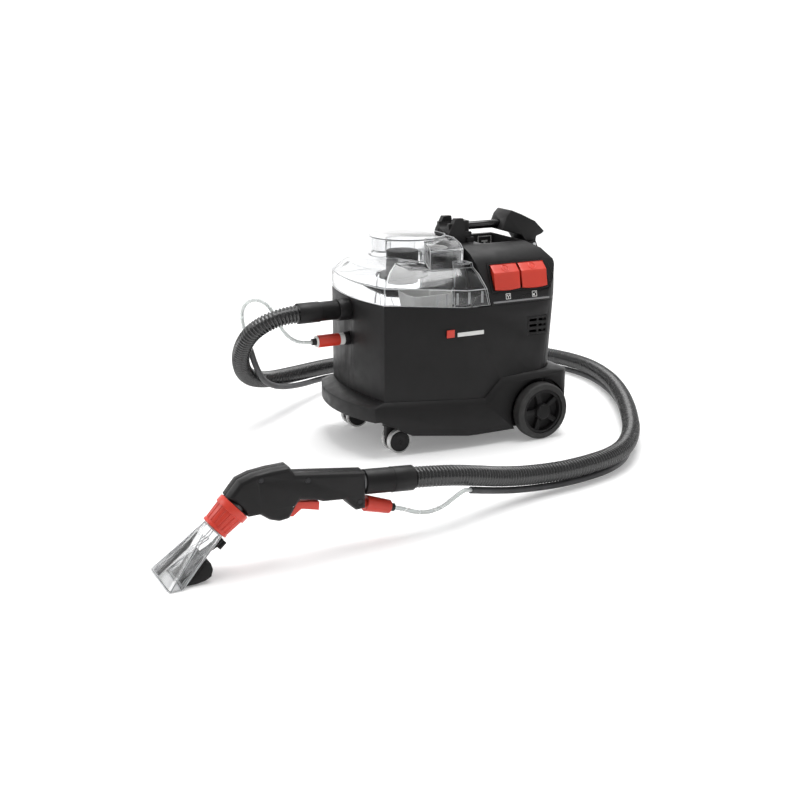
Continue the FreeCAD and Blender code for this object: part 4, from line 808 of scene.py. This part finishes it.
class CLEANER_OT_tool(bpy.types.Operator):
    """Hand tool: moulded grip, fluted nut with its collar, clear nozzle, couplings and cuffs"""
    bl_idname = "cleaner.tool"
    bl_label = "Hand tool"

    def execute(self, context):
        for node, width, angle in (
                ("tool_shell_left", 1.0, 28), ("tool_shell_right", 1.0, 28), ("tool_trigger", 1.2, 30),
                ("swivel_nut", 0.0, 30), ("nozzle_back", 2.0, 30), ("spray_jet", 0.8, 30),
                ("nozzle_clear", 0.0, 30), ("hose_cuff_tool", 0.8, 30), ("hose_cuff_machine", 0.8, 30),
                ("hose_socket", 0.8, 30), ("water_socket", 0.6, 30), ("coupling_machine", 0.0, 30),
                ("coupling_tool", 0.0, 30), ("coupling_rings", 0.5, 30)):
            finished(node, width * MM, 2, angle)
        # painted highlights along the clear nozzle's sharp edges
        edge_highlight_beads("nozzle_clear", "nozzle_edge_highlights", 0.8 * MM, 24)
        axis = Matrix.Translation(NUT_TOP) @ Matrix.Rotation(NUT_DIP - math.radians(90), 4, "X")
        for name, start, depth, radius, slot, body in NUT_BANDS:
            band = primitive(bpy.ops.mesh.primitive_cylinder_add, name, vertices=64,
                             radius=radius * MM, depth=depth * MM)
            self.bore(band, NUT_BORE, depth * MM)
            bevel(band, min(1.0, depth / 4) * MM, 2)
            band.data.transform(axis @ Matrix.Translation((0, 0, -(start + depth / 2) * MM)))
            smooth(band)
            paint(band, slot)
            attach(band, body)
        return {"FINISHED"}

    @staticmethod
    def bore(band, radius, depth):
        """Open a band along its middle, so that it is a ring."""
        drill = primitive(bpy.ops.mesh.primitive_cylinder_add, "drill", vertices=64, radius=radius,
                          depth=2 * depth + 2 * MM)
        modify(band, "BOOLEAN", object=drill, operation="DIFFERENCE")
        bpy.data.objects.remove(drill)


class CLEANER_OT_markings(bpy.types.Operator):
    """Plain badge, symbols, light strip and joint lines"""
    bl_idname = "cleaner.markings"
    bl_label = "Markings"

    def execute(self, context):
        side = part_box("body_shell")[1].x
        block("badge_tile", (side, -28 * MM, 230.5 * MM), (1.2 * MM, 17 * MM, 15 * MM),
              width=0.5 * MM, slot="red_plastic")
        block("badge_bars", (side, 16 * MM, 227 * MM), (0.9 * MM, 58 * MM, 8 * MM),
              width=0.4 * MM, slot="white_plastic")
        lean = Matrix.Rotation(SIGN_LEAN, 3, "Y")
        block("light_strip", (134.1 * MM, 130 * MM, 281.5 * MM), (1.2 * MM, 128 * MM, 3.6 * MM), lean,
              0.4 * MM, "grey_plastic")
        for name, middle, figure in SIGNS:
            place = Matrix.Translation((SIGN_X, middle, SIGN_Z)) @ lean.to_4x4()
            self.sign(name, SIGN_OUTLINE + figure, place)
        self.sign("tap_sign", TAP_STROKES, Matrix.Translation((TAP_X, 0, 0)))
        for name, line in JOINT_LINES:
            self.groove(name, line)
        return {"FINISHED"}

    @staticmethod
    def sign(name, strokes, place):
        """Plain strokes on one plane, each a thin block, made one sign."""
        parts = []
        for y, z, length, height in strokes:
            size = (STROKE_THICKNESS, length * MM, height * MM)
            parts.append(block("stroke", (0, 0, 0), size, slot="white_plastic"))
            parts[-1].data.transform(place @ Matrix.Translation((0, y * MM, z * MM)))
        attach(joined(name, parts), "root")

    @staticmethod
    def groove(name, line):
        """A dark joint line laid on the near side of the housing through (y, z) points."""
        housing = bpy.data.objects["finished_control_housing"]
        curve = bpy.data.curves.new(name, "CURVE")
        curve.dimensions = "3D"
        spline = curve.splines.new("POLY")
        places = []
        for i in range(JOINT_STEPS + 1):
            share = i / JOINT_STEPS * (len(line) - 1)
            part = min(int(share), len(line) - 2)
            y, z = (a + (b - a) * (share - part) for a, b in zip(line[part], line[part + 1]))
            found, place, _, _ = housing.ray_cast((0.3, y * MM, z * MM), (-1, 0, 0))
            if found:
                places.append(place)
        spline.points.add(len(places) - 1)
        for point, place in zip(spline.points, places):
            point.co = (*place, 1)
        curve.bevel_depth = JOINT_RADIUS
        curve.bevel_resolution = 2
        pick(linked(name, curve))
        bpy.ops.object.convert(target="MESH")
        obj = bpy.context.view_layer.objects.active
        paint(obj, "seal_rubber")
        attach(obj, "root")


class CLEANER_OT_cords(bpy.types.Operator):
    """Ribbed suction hose, its water sleeve and the two clear tubes"""
    bl_idname = "cleaner.cords"
    bl_label = "Cords"

    def execute(self, context):
        settings = context.scene.cleaner_hose
        line, length = centre_line(HOSE_ROUTE)
        points = evenly(line, settings.pitch / RIB_STEPS)
        hose = ribbed_tube("ribbed_hose", points, HOSE_RADIUS * MM, settings.depth, RIB_STEPS)
        paint(hose, "hose_plastic")
        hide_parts("suction_hose")
        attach(hose, "root")
        beside = sleeve_route()
        for name, node, route, radius, slot, end in (
                ("water_sleeve", "hose_sleeve", beside, SLEEVE_RADIUS, "sleeve_rubber", "bare"),
                ("water_tube_machine", "tube_machine", TUBE_MACHINE_ROUTE + beside[:1], TUBE_RADIUS,
                 "clear_tube", "object"),
                ("water_tube_tool", "tube_tool", TUBE_TOOL_ROUTE + beside[-1:], TUBE_RADIUS,
                 "clear_tube", "object")):
            cord = cord_curve(name, route, radius)
            paint(cord, slot)
            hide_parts(node)
            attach(cord, "root")
            line, length = centre_line(route)
        return {"FINISHED"}


OPERATORS = (CLEANER_OT_stage, CLEANER_OT_finishes, CLEANER_OT_housing, CLEANER_OT_lid,
             CLEANER_OT_switches, CLEANER_OT_handle, CLEANER_OT_wheels, CLEANER_OT_tool,
             CLEANER_OT_markings, CLEANER_OT_cords)


class CLEANER_PT_panel(bpy.types.Panel):
    """Sizes, colours and building steps"""
    bl_label = "Carpet cleaner"
    bl_idname = "CLEANER_PT_panel"
    bl_space_type = "VIEW_3D"
    bl_region_type = "UI"
    bl_category = "Cleaner"

    def draw(self, context):
        scene = context.scene
        for group in (scene.cleaner_finish, scene.cleaner_hose, scene.cleaner_stage):
            for name in group.__annotations__:
                self.layout.prop(group, name)
        for operator in OPERATORS:
            self.layout.operator(operator.bl_idname)


CLASSES = (CleanerFinish, CleanerHose, CleanerStage, *OPERATORS, CLEANER_PT_panel)


def register():
    for cls in CLASSES:
        bpy.utils.register_class(cls)
    bpy.types.Scene.cleaner_finish = bpy.props.PointerProperty(type=CleanerFinish)
    bpy.types.Scene.cleaner_hose = bpy.props.PointerProperty(type=CleanerHose)
    bpy.types.Scene.cleaner_stage = bpy.props.PointerProperty(type=CleanerStage)


def unregister():
    for name in ("cleaner_finish", "cleaner_hose", "cleaner_stage"):
        delattr(bpy.types.Scene, name)
    for cls in reversed(CLASSES):
        bpy.utils.unregister_class(cls)


def main():
    register()
    for operator in OPERATORS:
        category, name = operator.bl_idname.split(".")
        getattr(getattr(bpy.ops, category), name)()


if __name__ == "__main__":
    main()
